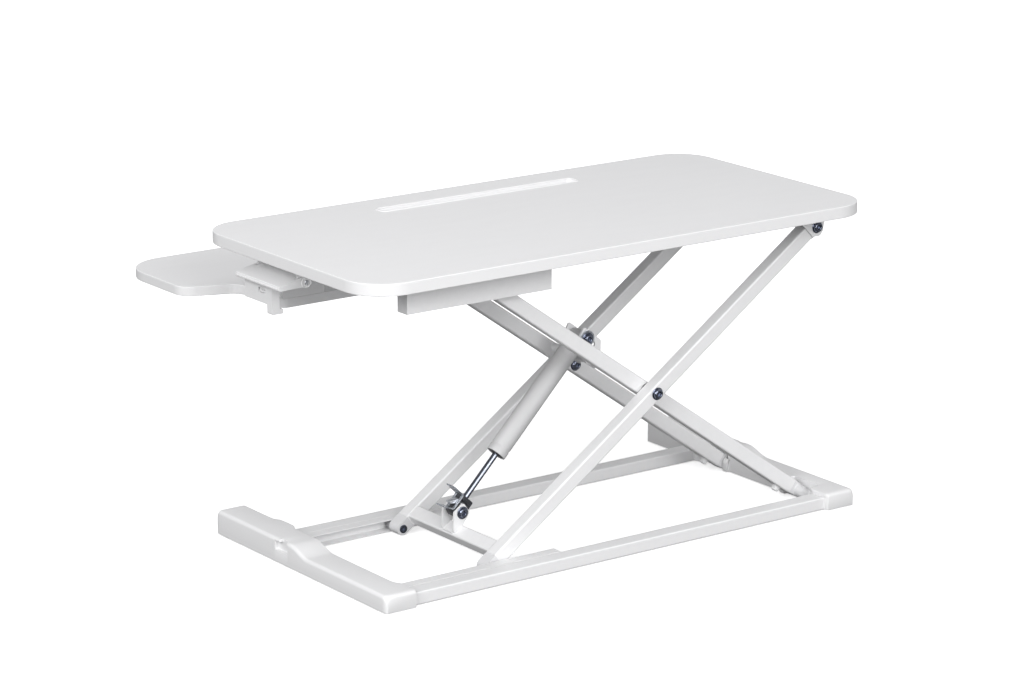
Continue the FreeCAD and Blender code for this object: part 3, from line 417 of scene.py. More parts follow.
def rounded_outline(corners, steps=5):
    """A closed outline from (x, y, radius) corners, each rounded by an arc, in millimetres."""
    points = []
    count = len(corners)
    for index, (x, y, radius) in enumerate(corners):
        here = Vector((x, y))
        if radius == 0:
            points.append(here)
            continue
        back = (Vector(corners[index - 1][:2]) - here).normalized()
        ahead = (Vector(corners[(index + 1) % count][:2]) - here).normalized()
        half = back.angle(ahead) / 2
        cut_back = radius / math.tan(half)
        centre = here + (back + ahead).normalized() * (radius / math.sin(half))
        first = here + back * cut_back - centre
        last = here + ahead * cut_back - centre
        turn = first.angle_signed(last)
        for step in range(steps + 1):
            points.append(centre + Matrix.Rotation(-turn * step / steps, 2) @ first)
    return points


def prism(bm, place, corners, low, high, finish=0, steps=5):
    """An outline in local XZ carried along local Y."""
    points = rounded_outline(corners, steps)
    loops = [[bm.verts.new(place @ (Vector((p.x, y, p.y)) * MM)) for p in points] for y in (low, high)]
    return skin(bm, loops, finish)


def tube(bm, path, radius, finish=0, segments=12):
    """A round bar that follows a line of points, with flat ends."""
    loops = []
    for index, spot in enumerate(path):
        ahead = path[min(index + 1, len(path) - 1)] - path[max(index - 1, 0)]
        place = facing(spot, ahead)
        loops.append([bm.verts.new(place @ (Vector((math.cos(a), math.sin(a), 0)) * radius * MM))
                      for a in (math.tau * s / segments for s in range(segments))])
    return skin(bm, loops, finish)


def block(bm, place, x_span, z_span, y_span):
    """A square-edged box in a local frame, from its spans in millimetres."""
    (x0, x1), (z0, z1) = x_span, z_span
    prism(bm, place, [(x0, z0, 0), (x1, z0, 0), (x1, z1, 0), (x0, z1, 0)], *y_span)


def object_from(name, bm):
    """An object with the faces of a bmesh, which is then gone."""
    bmesh.ops.recalc_face_normals(bm, faces=bm.faces)
    mesh = bpy.data.meshes.new(name)
    bm.to_mesh(mesh)
    bm.free()
    piece = bpy.data.objects.new(name, mesh)
    bpy.context.scene.collection.objects.link(piece)
    return piece


def apply_modifiers(piece):
    """Replace a piece's mesh with what its modifiers make of it."""
    graph = bpy.context.evaluated_depsgraph_get()
    graph.update()
    mesh = bpy.data.meshes.new_from_object(piece.evaluated_get(graph))
    piece.modifiers.clear()
    piece.data = mesh


def soften(piece, width, angle=40, segments=3):
    """Round the sharp edges of a piece."""
    bevel = piece.modifiers.new("soften", "BEVEL")
    bevel.width = width * MM
    bevel.segments = segments
    bevel.limit_method = "ANGLE"
    bevel.angle_limit = math.radians(angle)
    bevel.use_clamp_overlap = True
    apply_modifiers(piece)


def carve(piece, cutters, operation="DIFFERENCE"):
    """Cut one mesh with another, which is then gone."""
    boolean = piece.modifiers.new("carve", "BOOLEAN")
    boolean.operation = operation
    boolean.solver = "EXACT"
    boolean.object = cutters
    apply_modifiers(piece)
    bpy.data.objects.remove(cutters)


def melt(piece, voxel, passes):
    """Fuse the shells of a casting into one skin and smooth their joins."""
    remesh = piece.modifiers.new("melt", "REMESH")
    remesh.mode = "VOXEL"
    remesh.voxel_size = voxel * MM
    smooth = piece.modifiers.new("relax", "SMOOTH")
    smooth.factor = 0.5
    smooth.iterations = passes
    apply_modifiers(piece)


def join(piece, other):
    """Add another mesh's faces to a piece."""
    bm = bmesh.new()
    bm.from_mesh(piece.data)
    bm.from_mesh(other.data)
    bm.to_mesh(piece.data)
    bm.free()
    bpy.data.objects.remove(other)


def publish(piece, body, finishes, nodes=(), angle=32):
    """Shade a piece, give it its materials and hang it on its body.

    materials.clear() sets every face back to the first finish, so a second one never shows, a known fault.
    """
    piece.data.materials.clear()
    for finish in finishes:
        piece.data.materials.append(material(finish))
    for face in piece.data.polygons:
        face.use_smooth = True
    piece.data.set_sharp_from_angle(angle=math.radians(angle))
    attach(piece, body)
    if nodes:
        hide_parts(*nodes)


def middle_of(node):
    """Centre of a node's box."""
    low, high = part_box(node)
    return (low + high) / 2


SIDES = (("back", 1), ("front", -1))


# ---------------------------------------------------------------- bolts and screws

def button_head(bm, spot, way, head, thick, washer=8.4):
    """Domed socket head on a washer; finish 0 is chrome darkened and blued as a painted dark reflection, 1 is
    meant to be bright zinc.
    """
    place = facing(spot, way)
    turned(bm, place, [(washer - 0.5, 0), (washer, 0.35), (washer, 0.95), (washer - 0.5, 1.3),
                       (head - 1, 1.3)], 1)
    dome = [(head - 0.5 * (1 - math.cos(a)) * head * 0.72, 1.9 + (thick - 1.9) * math.sin(a))
            for a in (math.radians(18 * s) for s in range(6))]
    recess = [(head * 0.56, thick, ROUND), (head * 0.53, thick - 0.35, HEXAGON),
              (head * 0.53, thick - 3.1, HEXAGON), (0, thick - 3.9)]
    turned(bm, place, [(head - 0.7, 1.0), (head, 1.5), *dome, *recess], 0)


NUT_HALF, HEAD_THICK = 7.0, 5.0


def hexagon_nut(bm, spot, way, thick):
    """Chamfered nut with the bolt's end standing in it."""
    half = NUT_HALF
    place = facing(spot, way)
    turned(bm, place, [(half - 0.9, 0), (half, 0.7, HEXAGON), (half, thick - 0.7, HEXAGON),
                       (half - 0.9, thick), (4.2, thick), (3.4, thick - 0.6)], 0)
    turned(bm, place, [(3.8, thick - 1.5), (3.8, thick + 0.1), (3.1, thick + 0.6), (0, thick + 0.6)], 1)


def cross_bolt(bm, x, z, y_nut, y_head, head=7.0, head_thick=HEAD_THICK, nut_thick=5.0):
    """A bolt along Y: button head at one end, nut at the other, both on the faces they clamp."""
    low, high = Vector((x, y_nut, z)), Vector((x, y_head, z))
    turned(bm, facing(low, Y_AXIS), [(3.9, -1), (3.9, (y_head - y_nut) / MM + 1)], 1, 32)
    button_head(bm, high, Y_AXIS, head, head_thick)
    hexagon_nut(bm, low, -Y_AXIS, nut_thick)


def make_bolts():
    """The four pivots' bolts, each clamping what its node's box spans."""
    low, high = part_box("centre_pivot_bolts")
    outer = (high.y - low.y) / 2 - HEAD_THICK * MM
    inner_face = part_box("inner_arm_back")[0].y - MID_Y
    bm = bmesh.new()
    cross_bolt(bm, CENTRE.x, CENTRE.z, MID_Y + inner_face, MID_Y + outer)
    cross_bolt(bm, CENTRE.x, CENTRE.z, MID_Y - outer, MID_Y - inner_face)
    # The bolts' dark steel finish is chrome with a painted dark reflection.
    publish(object_from("centre_bolts", bm), "inner_arms", ["steel_painted_dark_reflection", "bright_zinc"],
            ["centre_pivot_bolts"])

    bm = bmesh.new()
    for bracket, _ in SIDES:
        low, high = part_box("top_hinge_bracket_" + bracket)
        cross_bolt(bm, TOP_HINGE.x, TOP_HINGE.z, low.y, high.y)
    publish(object_from("top_hinge_button_bolts", bm), "worktop", ["steel_painted_dark_reflection", "bright_zinc"],
            ["top_hinge_bolts"])

    for node, body, thick in (("gas_spring_lower_bolt", "outer_arms", 4.0),
                              ("gas_spring_upper_bolt", "gas_cylinder", 4.5)):
        spot = middle_of(node)
        low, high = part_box(node)
        bm = bmesh.new()
        cross_bolt(bm, spot.x, spot.z, low.y + thick * MM, high.y - thick * MM, 6.2, thick, thick)
        publish(object_from(node + "_button", bm), body, ["steel_painted_dark_reflection", "bright_zinc"], [node])


SCREW_HEAD = 2.2


def pan_screw(bm, spot, way, length):
    """Pan-head screw with a cross recess and a ring for each turn of thread; way is where its head points."""
    place = facing(spot, way)
    turned(bm, place, [(2.0, -length + 2), (2.0, 0), (4.2, 0), (4.3, 0.5), (3.9, 1.5), (3.0, 2.1),
                       (2.3, SCREW_HEAD), (2.1, 2.1, CROSS), (1.5, 0.9, CROSS), (0, 0.6)], 0, 24)
    for turn in range(int(length) - 4):
        turned(bm, place, [(1.95, -turn - 1.9), (2.35, -turn - 1.6), (1.95, -turn - 1.3)], 0, 12)


def make_screws():
    """A screw at each solid of the two screw nodes, whose places are their shells' centres."""
    for node, way, length in (("worktop_screws", -Z_AXIS, 13), ("tray_screws", Z_AXIS, 11)):
        bm = bmesh.new()
        for x, y, edge in screw_places(node, way):
            pan_screw(bm, Vector((x, y, edge - way.z * SCREW_HEAD * MM)), way, length)
        publish(object_from(node + "_crossed", bm), "worktop", ["bright_zinc"], [node])


def screw_places(node, way):
    """Centre and head height of every separate shell in a node's mesh."""
    mesh = frame["nodes"][node].data
    bm = bmesh.new()
    bm.from_mesh(mesh)
    bmesh.ops.remove_doubles(bm, verts=bm.verts, dist=1e-6)
    bm.verts.ensure_lookup_table()
    left = set(range(len(bm.verts)))
    places = []
    while left:
        stack = [min(left)]
        left.discard(stack[0])
        shell = []
        while stack:
            vert = bm.verts[stack.pop()]
            shell.append(vert.co.copy())
            for edge in vert.link_edges:
                other = edge.other_vert(vert).index
                if other in left:
                    left.discard(other)
                    stack.append(other)
        xs, ys, zs = zip(*shell)
        edge = min(zs) if way.z < 0 else max(zs)
        places.append(((min(xs) + max(xs)) / 2, (min(ys) + max(ys)) / 2, edge))
    bm.free()
    return sorted(places)


# ---------------------------------------------------------------- base

BAR_WIDE, BAR_LOW, BAR_HIGH = 42, 23.5, 33.5
RAMP_START, RAMP_END = 78, 120
FLARE, FLARE_RUN = 6, 9


def bar_height(y):
    """Height of an end bar along its length: the raised block, an S-shaped ramp and the low run."""
    part = min(max((y - RAMP_START) / (RAMP_END - RAMP_START), 0), 1)
    return BAR_HIGH - (BAR_HIGH - BAR_LOW) * part * part * (3 - 2 * part)


def bar_section(height, shrink, flare):
    """Section of an end bar across X, soft at the outer top, drawn in by a shrink at its rounded ends."""
    outer, inner = -0.4 * shrink, -BAR_WIDE - flare
    top = height - 0.45 * shrink
    return rounded_outline([(inner, 1, 0.8), (outer, 1, 1.2),
                            (outer, top, 5 + 0.9 * shrink), (inner, top, 2.2)], 6)


def rail_flare(y):
    """How far an end bar swells towards a rail that comes in at a place along it."""
    swell = 0
    for rail in ("back", "front"):
        low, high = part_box("base_rail_" + rail)
        gap = max(low.y / MM - y, y - high.y / MM, 0)
        swell += FLARE * math.exp(-(gap / FLARE_RUN) ** 2)
    return swell


END_ROUND, STATION = 8, 3
LATCH_POCKET, LATCH_NOTCH = (17.6, 30), (22, 40)
FOOT_INSET_X, FOOT_INSET_Y, FOOT_POCKET = 12.5, 22, 11


def bar_stations(front, back):
    """Places along an end bar for its sections: close together round both ends, evenly between them."""
    turns = [END_ROUND * (1 - math.cos(math.radians(angle))) for angle in range(0, 91, 15)]
    straight = int((back - front - 2 * END_ROUND) / STATION)
    places = [front + turn for turn in turns] + [back - turn for turn in turns]
    places += [front + END_ROUND + STATION * step for step in range(1, straight)]
    return sorted({round(y, 4) for y in places})


def bar_shell(name, side, outer_x, front, back):
    """The solid of an end bar, skinned over its sections."""
    loops = []
    bm = bmesh.new()
    for y in bar_stations(front, back):
        inside = max(min(y - front, back - y), 0)
        shrink = END_ROUND - math.sqrt(END_ROUND ** 2 - (END_ROUND - min(inside, END_ROUND)) ** 2)
        section = bar_section(bar_height(y), shrink, rail_flare(y))
        loops.append([bm.verts.new((outer_x + side * p.x * MM, y * MM, p.y * MM)) for p in section])
    skin(bm, loops)
    return object_from("end_bar_shell_" + name, bm)


def hinge_spans():
    """Reach of a hinge foot from the middle plane: its arm's inner face and its far end."""
    low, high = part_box("inner_arm_hinge_feet")
    return (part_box("inner_arm_back")[0].y - MID_Y) / MM, (high.y - low.y) / 2 / MM


def mirrored_span(sign, near, far):
    """A Y span from two distances to the middle plane, on one side of it."""
    return sorted((MID_Y / MM + sign * near, MID_Y / MM + sign * far))


def hinge_recesses(bm, inner_x):
    """Room in the left bar for the inner arms' hinge feet."""
    arm_in, far = hinge_spans()
    for _, sign in SIDES:
        block(bm, WORLD, (HINGE.x / MM - 10.2, inner_x + 14), (-2, 40),
              mirrored_span(sign, arm_in - 1.2, far + 1.2))


def hinge_lugs(inner_x):
    """Lugs of the left bar on both sides of each hinge foot."""
    arm_in, far = hinge_spans()
    end = HINGE.x / MM + 9
    bm = bmesh.new()
    for _, sign in SIDES:
        for near_side, far_side in ((arm_in - 10.2, arm_in - 1.2), (far + 1.2, far + 9.2)):
            y0, y1 = mirrored_span(sign, near_side, far_side)
            prism(bm, WORLD, [(inner_x - 2, 1, 0), (end, 1, 2), (end, 18, 7.5), (inner_x - 2, 20, 2)], y0, y1)
    return object_from("lugs", bm)


def make_end_bar(name, side):
    """End bar of the base, with its rail sockets, latch pocket, foot pockets and hinge recesses."""
    node = "base_end_bar_" + name
    low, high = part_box(node)
    outer_x = high.x if side > 0 else low.x
    inner_x = (outer_x / MM) - side * BAR_WIDE
    front, back = low.y / MM, high.y / MM
    piece = bar_shell(name, side, outer_x, front, back)

    bm = bmesh.new()
    for rail in ("back", "front"):
        rail_low, rail_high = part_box("base_rail_" + rail)
        block(bm, WORLD, sorted((inner_x - side * 12, inner_x + side * 16)),
              (rail_low.z / MM, rail_high.z / MM), (rail_low.y / MM, rail_high.y / MM))
    hook_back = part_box("latch_hook_" + name)[1].y / MM
    x0, x1 = sorted((outer_x / MM - side * 5.5, outer_x / MM + side * 3))
    bottom, top = LATCH_POCKET
    prism(bm, WORLD, [(x0, bottom, 1.5), (x1, bottom, 0), (x1, top, 0), (x0, top, 1.5)],
          hook_back - 24.5, hook_back + 5.5)
    for y in (front + FOOT_INSET_Y, back - FOOT_INSET_Y):
        spot = Vector((outer_x - side * FOOT_INSET_X * MM, y * MM, 0))
        turned(bm, facing(spot, Z_AXIS), [(FOOT_POCKET, -2), (FOOT_POCKET, 3)], 0, 40)
    if side < 0:
        hinge_recesses(bm, inner_x)
    carve(piece, object_from("cutters", bm))

    # The notch overlaps the pocket, so it is cut on its own.
    bm = bmesh.new()
    block(bm, WORLD, (x0, x1), LATCH_NOTCH, (hook_back - 13.5, hook_back + 1.5))
    carve(piece, object_from("notch", bm))
    if side < 0:
        carve(piece, hinge_lugs(inner_x), "UNION")
    soften(piece, 0.5, 50, 2)
    publish(piece, "base", ["white_moulding"], [node])


def make_feet():
    """Rubber feet with a grooved tread."""
    low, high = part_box("rubber_feet")
    inset = FOOT_POCKET * MM
    bm = bmesh.new()
    for side in (1, -1):
        for y in (low.y + inset, high.y - inset):
            spot = Vector((side * (high.x - inset), y, 0))
            rings = [(0, 0.6), (2.4, 0.6), (2.6, 0), (5.4, 0), (5.6, 0.6), (6.6, 0.6), (6.8, 0), (10.4, 0),
                     (10.9, 0.5), (10.9, 2.9)]
            turned(bm, facing(spot, Z_AXIS), rings)
    publish(object_from("tread_feet", bm), "base", ["rubber_foot"], ["rubber_feet"])


# ---------------------------------------------------------------- arms

def make_hinge_feet():
    """Cast feet of the inner arms: a waisted spool on the hinge pin, blended into the tube's plug."""
    pin = -REACH / MM
    low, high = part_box("inner_arm_back")
    arm_wide = round((high.y - low.y) / MM)
    reach = (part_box("inner_arm_hinge_feet")[1].y - MID_Y) / MM
    bm = bmesh.new()
    for _, sign in SIDES:
        inner = sign * (low.y - MID_Y) / MM
        far = sign * reach
        spot = ON_INNER @ (Vector((pin, inner, 0)) * MM)
        length = abs(far - inner)
        waist = [(8.9, 0.45), (8.3, 0.55), (6.6, 0.66), (6.3, 0.74), (7.2, 0.85), (8.9, 0.96),
                 (8.9, 1), (0, 1)]
        rings = [(0, 0), (8.6, 0), (8.9, 0.4)] + [(radius, part * length) for radius, part in waist]
        turned(bm, facing(spot, sign * Y_AXIS), rings)
        y0, y1 = sorted((inner, inner + sign * arm_wide))
        prism(bm, ON_INNER, [(pin, -8.9, 0), (pin + 15.5, -9.6, 1),
                             (pin + 15.5, 9.6, 1), (pin, 8.9, 0)], y0, y1)
        block(bm, ON_INNER, (pin + 12, pin + 34), (-8.4, 8.4), (y0 + 1.6, y1 - 1.6))
        # Web that ties the spool's far end back to the arm.
        y0, y1 = sorted((inner + sign * 15, far - sign * 3))
        prism(bm, ON_INNER, [(pin - 2, -6, 0), (pin + 5, -8, 2), (pin + 7, 4, 2), (pin, 6, 0)], y0, y1)
    piece = object_from("cast_hinge_feet", bm)
    melt(piece, 0.7, 5)
    publish(piece, "inner_arms", ["knuckle"], ["inner_arm_hinge_feet"], 60)


def make_stops():
    """Bump stops under the inner arms, beside their hinged ends."""
    low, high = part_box("inner_arm_stop_studs")
    spot = ON_INNER.inverted() @ ((low + high) / 2)
    bm = bmesh.new()
    for _, sign in SIDES:
        y = sign * (high.y - MID_Y) / MM - sign * 4.5
        x = spot.x / MM
        prism(bm, ON_INNER, [(x - 3.6, -16.6, 1), (x + 3.6, -16.6, 1),
                             (x + 3.6, -10.6, 0), (x - 3.6, -10.6, 0)], y - 4, y + 4)
        block(bm, ON_INNER, (x - 5, x + 5), (-11.2, -10), (y - 5, y + 5))
    piece = object_from("bump_stops", bm)
    soften(piece, 0.5)
    publish(piece, "inner_arms", ["white_moulding"], ["inner_arm_stop_studs"])


def make_rollers():
    """Nylon wheels with a crowned tread and a dished face."""
    for level in ("lower", "upper"):
        for name, _ in SIDES:
            node = "%s_roller_%s" % (level, name)
            low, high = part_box(node)
            radius = (high.z - low.z) / 2 / MM
            wide = (high.y - low.y) / MM
            spot = Vector(((low.x + high.x) / 2, low.y, (low.z + high.z) / 2))
            bore = 3.1 if level == "lower" else 4.1
            rings = [(bore, 0.6), (bore + 1.4, 0.2), (bore + 1.8, 0.8), (radius - 1.6, 0.8),
                     (radius - 1.2, 0), (radius - 0.8, 0), (radius - 0.15, 0.9), (radius, wide / 2),
                     (radius - 0.15, wide - 0.9), (radius - 0.8, wide), (radius - 1.2, wide),
                     (radius - 1.6, wide - 0.8), (bore + 1.8, wide - 0.8), (bore + 1.4, wide - 0.2),
                     (bore, wide - 0.6)]
            bm = bmesh.new()
            turned(bm, facing(spot, Y_AXIS), rings)
            publish(object_from(node + "_wheel", bm), node, ["roller_nylon"], [node])


def make_axles():
    """Pressed steel axles with a hexagon socket in a flat head."""
    for node, body, radius, arm in (("lower_roller_axles", "outer_arms", 3.0, "outer_arm_back"),
                                    ("upper_roller_axles", "inner_arms", 4.0, "inner_arm_back")):
        spot = middle_of(node)
        inner = (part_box(arm)[0].y - MID_Y) / MM
        far = (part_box(node)[1].y - MID_Y) / MM
        bm = bmesh.new()
        for _, sign in SIDES:
            place = facing(Vector((spot.x, MID_Y + sign * inner * MM, spot.z)), sign * Y_AXIS)
            length = far - inner
            rings = [(0, 1.6), (2.4, 1.2, HEXAGON), (2.4, -0.9, HEXAGON), (4.4, -1.2), (5.6, -0.9), (5.7, 0),
                     (radius, 0.1), (radius, length - 0.5), (radius - 0.5, length), (0, length)]
            turned(bm, place, rings)
        # The axles' dark steel finish is chrome with a painted dark reflection.
        publish(object_from(node + "_pressed", bm), body, ["steel_painted_dark_reflection"], [node])


# ---------------------------------------------------------------- gas spring

CYLINDER_START, CYLINDER_END = 90, 262
BRACKET_SHEET, BRACKET_BEND = 1.8, 14


def up_the_gas_spring():
    """Local frame at the gas spring's lower pivot, with Z along the spring."""
    return facing(ON_GAS @ Vector((0, 0, 0)), -(ON_GAS.to_3x3() @ X_AXIS))


def make_gas_rod():
    """Ground rod with a shoulder where it screws into the head."""
    bm = bmesh.new()
    turned(bm, up_the_gas_spring(), [(0, 14.6), (4.6, 14.6), (4.6, 20), (4.0, 20.8), (4.0, 111.5),
                                     (3.5, 112), (0, 112)], 0, 40)
    # The rod's chrome is darkened and blued: a painted dark reflection.
    publish(object_from("gas_rod_ground", bm), "gas_rod", ["rod_chrome"], ["gas_rod"])


def make_gas_cylinder():
    """Drawn cylinder with a rolled-in groove near its mouth, and the seal that fills the mouth."""
    start, end = CYLINDER_START, CYLINDER_END
    bm = bmesh.new()
    turned(bm, up_the_gas_spring(),
           [(12.0, start + 6), (12.0, start + 0.9), (12.5, start + 0.2), (13.1, start + 0.4),
            (13.5, start + 1.6), (13.5, start + 9.5), (13.0, start + 10.6), (12.9, start + 11.6),
            (13.0, start + 12.6), (13.5, start + 13.7), (13.5, end - 5), (13.2, end - 2.6),
            (12.0, end - 0.8), (10.2, end), (0, end)], 0, 64)
    publish(object_from("gas_cylinder_drawn", bm), "gas_cylinder", ["cylinder_paint"],
            ["gas_cylinder"])

    bm = bmesh.new()
    turned(bm, up_the_gas_spring(),
           [(4.15, start + 8), (4.15, start + 0.9), (5.0, start + 0.5), (6.6, start + 0.5),
            (6.9, start + 1.3), (9.0, start + 1.3), (11.9, start + 1.0), (11.9, start + 8)], 0, 48)
    publish(object_from("gas_wiper_seal", bm), "gas_cylinder", ["nylon"], ["gas_rod_guide"])


def make_gas_eye():
    """Forged blade with a turned boss for the upper bolt."""
    end = CYLINDER_END
    reach = -(ON_GAS.inverted() @ middle_of("gas_spring_upper_bolt")).x / MM
    eye = facing(ON_GAS @ (Vector((-reach, -11, 0)) * MM), Y_AXIS)
    bm = bmesh.new()
    turned(bm, eye, [(4.0, 0), (8.2, 0), (9.0, 0.8), (9.0, 21.2), (8.2, 22), (4.0, 22)], 0, 40)
    prism(bm, ON_GAS, [(-reach, -8.6, 0), (-end - 2, -6.6, 2), (-end + 0.4, -8.6, 0), (-end + 0.4, 8.6, 0),
                       (-end - 2, 6.6, 2), (-reach, 8.6, 0)], -6, 6)
    publish(object_from("gas_eye_forged", bm), "gas_cylinder", ["cylinder_paint"],
            ["gas_cylinder_eye"])


def make_gas_head():
    """Die-cast release head: a block slotted for the tab, with fine ribs below and on both sides."""
    bm = bmesh.new()
    prism(bm, ON_GAS, [(-20, -9, 2), (7, -9, 6), (9, 0, 4), (7, 9, 6), (-4.6, 9, 0.6), (-4.6, -2.4, 0.4),
                       (-13.8, -2.4, 0.4), (-13.8, 9, 0.6), (-20, 9, 2)], -9, 9)
    piece = object_from("gas_head_cast", bm)
    soften(piece, 0.7, 40, 2)
    bm = bmesh.new()
    for rib in range(4):
        x = -18.4 + 1.25 * rib
        prism(bm, ON_GAS, [(x, -9.7, 0.2), (x + 0.7, -9.7, 0.2), (x + 0.7, -8.8, 0), (x, -8.8, 0)], -7.5, 7.5)
    for side in (-1, 1):
        y0, y1 = sorted((side * 8.9, side * 9.8))
        for rib in range(3):
            x = -18 + 2.6 * rib
            prism(bm, ON_GAS, [(x, -7.5, 0.3), (x + 1.3, -7.5, 0.3), (x + 1.3, 7, 0.3), (x, 7, 0.3)], y0, y1)
    join(piece, object_from("ribs", bm))
    publish(piece, "gas_rod", ["dark_nylon_gloss"], ["gas_release_head"])


def make_cable_bracket():
    """A folded strip on the head, forked round the tab, with a flange at each end."""
    left = -18 - BRACKET_SHEET
    bend = BRACKET_BEND
    sheet = [(left, 9.2, 2.4), (3.4, 9.2, 2.4), (5.4, bend, 0), (3.7, 14.6, 0), (2.2, 11, 0.8),
             (-18, 11, 0.8), (-18, bend, 0), (left, bend, 0)]
    bm = bmesh.new()
    for _, sign in SIDES:
        y0, y1 = sorted((sign * 4.9, sign * 8.8))
        prism(bm, ON_GAS, sheet, y0, y1)
    prism(bm, ON_GAS, [(left, 13.9, 0), (-18, 13.9, 0), (-18, 31, 0.7), (left, 31, 0.7)], -8.8, 8.8)
    prism(bm, ON_GAS, [(5.3, 13.9, 0), (10.4, 26, 0.7), (8.7, 26.6, 0.7), (3.6, 14.5, 0)], -8.8, 8.8)
    piece = object_from("gas_cable_bracket", bm)
    soften(piece, 0.3, 40, 2)
    publish(piece, "gas_rod", ["zinc"])


def make_release_tab():
    """Release tab in the head's slot, with its pin."""
    bm = bmesh.new()
    prism(bm, ON_GAS, [(-12.6, -2, 0.8), (-6.3, -2, 0.8), (-6.3, 9.6, 1), (0.2, 17.5, 1.2), (-2, 20, 1.2),
                       (-12.6, 10.6, 1.6)], -4.4, 4.4)
    piece = object_from("gas_tab_stamped", bm)
    soften(piece, 0.5, 40, 2)
    publish(piece, "release_tab", ["bright_zinc"], ["gas_release_tab"])
    bm = bmesh.new()
    turned(bm, facing(middle_of("gas_release_tab_pin"), Y_AXIS),
           [(0, -9.1), (1.2, -9.1), (1.5, -8.6), (1.5, 8.6), (1.2, 9.1), (0, 9.1)], 0, 24)
    publish(object_from("gas_tab_rivet", bm), "gas_rod", ["bright_zinc"], ["gas_release_tab_pin"])


# ---------------------------------------------------------------- levers

def make_lever_lip(name, side):
    """Rounded lip along the tip of a release lever, glossier than the lever and lighter as a painted highlight."""
    low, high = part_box("release_lever_" + name)
    tip = (high.x if side > 0 else low.x) / MM
    front, rear = low.y / MM, high.y / MM
    inset = [(0, 2.4), (1.2, 2.9), (3, 3.05)]
    stations = [(front + 0.8 + along, radius) for along, radius in inset]
    stations += [(rear - 0.8 - along, radius) for along, radius in reversed(inset)]
    angles = [math.tau * step / 20 for step in range(20)]
    bm = bmesh.new()
    loops = []
    for y, radius in stations:
        centre = Vector(((tip - side * 2.7) * MM, y * MM, (low.z / MM + 3.3) * MM))
        loops.append([bm.verts.new(centre + Vector((side * math.cos(a), 0, 1.06 * math.sin(a))) * radius * MM)
                      for a in angles])
    skin(bm, loops)
    # The lip's lighter finish is a painted highlight along the paddle's tip.
    publish(object_from("lever_lip_" + name, bm), "lever_" + name, ["white_gloss_painted_highlight"])


def make_lever_hubs(name):
    """Hub caps outside a lever's arms."""
    low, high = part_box("release_lever_" + name)
    hub = pivot("lever_" + name)
    rings = [(7.4, 0), (7.4, 0.5), (6.9, 0.9), (6.0, 0.9), (5.7, 0.5), (4.4, 0.5), (4.2, 0.7), (3.05, 0.7),
             (3.05, 0)]
    bm = bmesh.new()
    for y, way in ((low.y / MM, -1), (high.y / MM, 1)):
        turned(bm, facing(Vector((hub.x, (y - way * 0.2) * MM, hub.z)), way * Y_AXIS), rings)
    publish(object_from("lever_hub_rings_" + name, bm), "lever_" + name, ["white_steel"])


def make_lever_pin(name):
    """Pin of a lever, with a rounded head and a groove for its clip."""
    low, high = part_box("lever_pin_" + name)
    hub = pivot("lever_" + name)
    length = (high.y - low.y) / MM
    bm = bmesh.new()
    turned(bm, facing(Vector((hub.x, low.y, hub.z)), Y_AXIS),
           [(0, 0), (2.4, 0), (3, 0.6), (3, length - 1.4), (2.3, length - 1.3), (2.3, length - 0.7),
            (3, length - 0.6), (2.5, length), (0, length)], 0, 32)
    publish(object_from("lever_pin_turned_" + name, bm), "worktop", ["bright_zinc"],
            ["lever_pin_" + name])


SPRING_TURNS, SPRING_PITCH, SPRING_RADIUS, SPRING_WIRE = 4.5, 1.7, 4.6, 0.7
SPRING_STEPS, SPRING_INSET = 16, 17


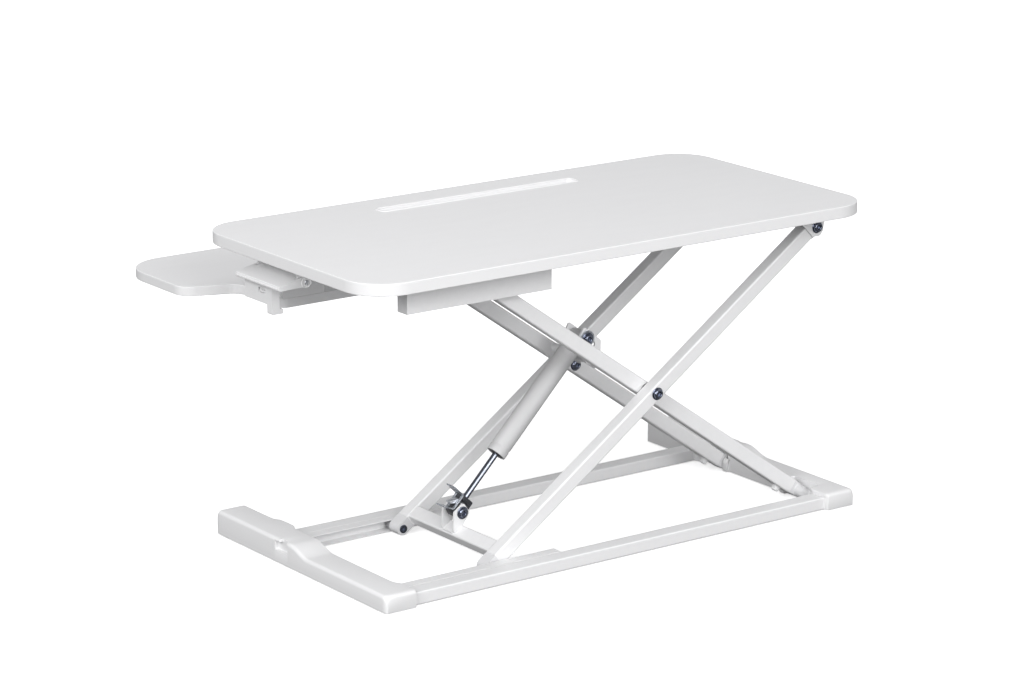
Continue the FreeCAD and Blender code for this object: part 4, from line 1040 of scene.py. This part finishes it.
def make_lever_spring(name, side):
    """Torsion spring round the pin, with a leg under the paddle and one on the housing."""
    hub = pivot("lever_" + name)
    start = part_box("release_lever_" + name)[1].y / MM - SPRING_INSET
    coil = []
    for step in range(int(SPRING_TURNS * SPRING_STEPS) + 1):
        angle = math.tau * step / SPRING_STEPS
        coil.append(hub + Vector((side * math.cos(angle), 0, -math.sin(angle))) * SPRING_RADIUS * MM)
        coil[-1].y = (start + SPRING_PITCH * step / SPRING_STEPS) * MM
    leg = coil[-1] + Vector((-side * 9, 0.5, -1.5)) * MM
    first = coil[0] + Vector((side * 11, -0.5, -2.5)) * MM
    bm = bmesh.new()
    tube(bm, [first] + coil + [leg], SPRING_WIRE, 0, 8)
    publish(object_from("lever_spring_" + name, bm), "worktop", ["bright_zinc"])


# ---------------------------------------------------------------- device slot

SLOT_CORNER = 8


def make_device_slot():
    """Soft-edged trough let into the worktop, with two raised ridges along it and its inner faces given a grey
    painted shade.
    """
    low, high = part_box("device_slot_liner")
    middle = (low + high) / 2
    half_long, half_wide = (high.x - low.x) / 2 / MM, (high.y - low.y) / 2 / MM
    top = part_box("worktop")[1].z / MM
    floor = low.z / MM

    def ring(out, height):
        """One loop of the trough, inset from its outline."""
        x, y = half_long - out, half_wide - out
        corner = max(SLOT_CORNER - out * 0.6, 1.0)
        points = rounded_outline([(-x, -y, corner), (x, -y, corner), (x, y, corner), (-x, y, corner)], 8)
        return [Vector((middle.x + p.x * MM, middle.y + p.y * MM, height * MM)) for p in points]

    profile = [(3.6, floor + 0.05), (3.55, top - 0.05), (0.0, top + 0.02), (0.3, top + 0.5), (0.9, top + 0.9),
               (1.6, top + 0.95), (2.2, top + 0.6), (2.8, top - 0.2), (4.2, top - 1.6), (5.0, floor + 2.2),
               (5.8, floor + 1.6)]
    bm = bmesh.new()
    # Faces below the worktop's top take the second finish, the grey painted shade inside the trough.
    for face in skin(bm, [[bm.verts.new(spot) for spot in ring(out, height)] for out, height in profile]):
        face.material_index = int(face.calc_center_median().z / MM < top + 0.5)
    publish(object_from("device_slot_trough", bm), "worktop",
            ["white_moulding", "slot_painted_shade_grey"], ["device_slot_liner"], 50)


make_camera()
make_floor()
make_world()
make_lights()
dress_cad_nodes()
for name, side in (("right", 1), ("left", -1)):
    make_end_bar(name, side)
    make_lever_lip(name, side)
    make_lever_hubs(name)
    make_lever_pin(name)
    make_lever_spring(name, side)
make_feet()
make_bolts()
make_screws()
make_hinge_feet()
make_stops()
make_rollers()
make_axles()
make_gas_rod()
make_gas_cylinder()
make_gas_eye()
make_gas_head()
make_cable_bracket()
make_release_tab()
make_device_slot()
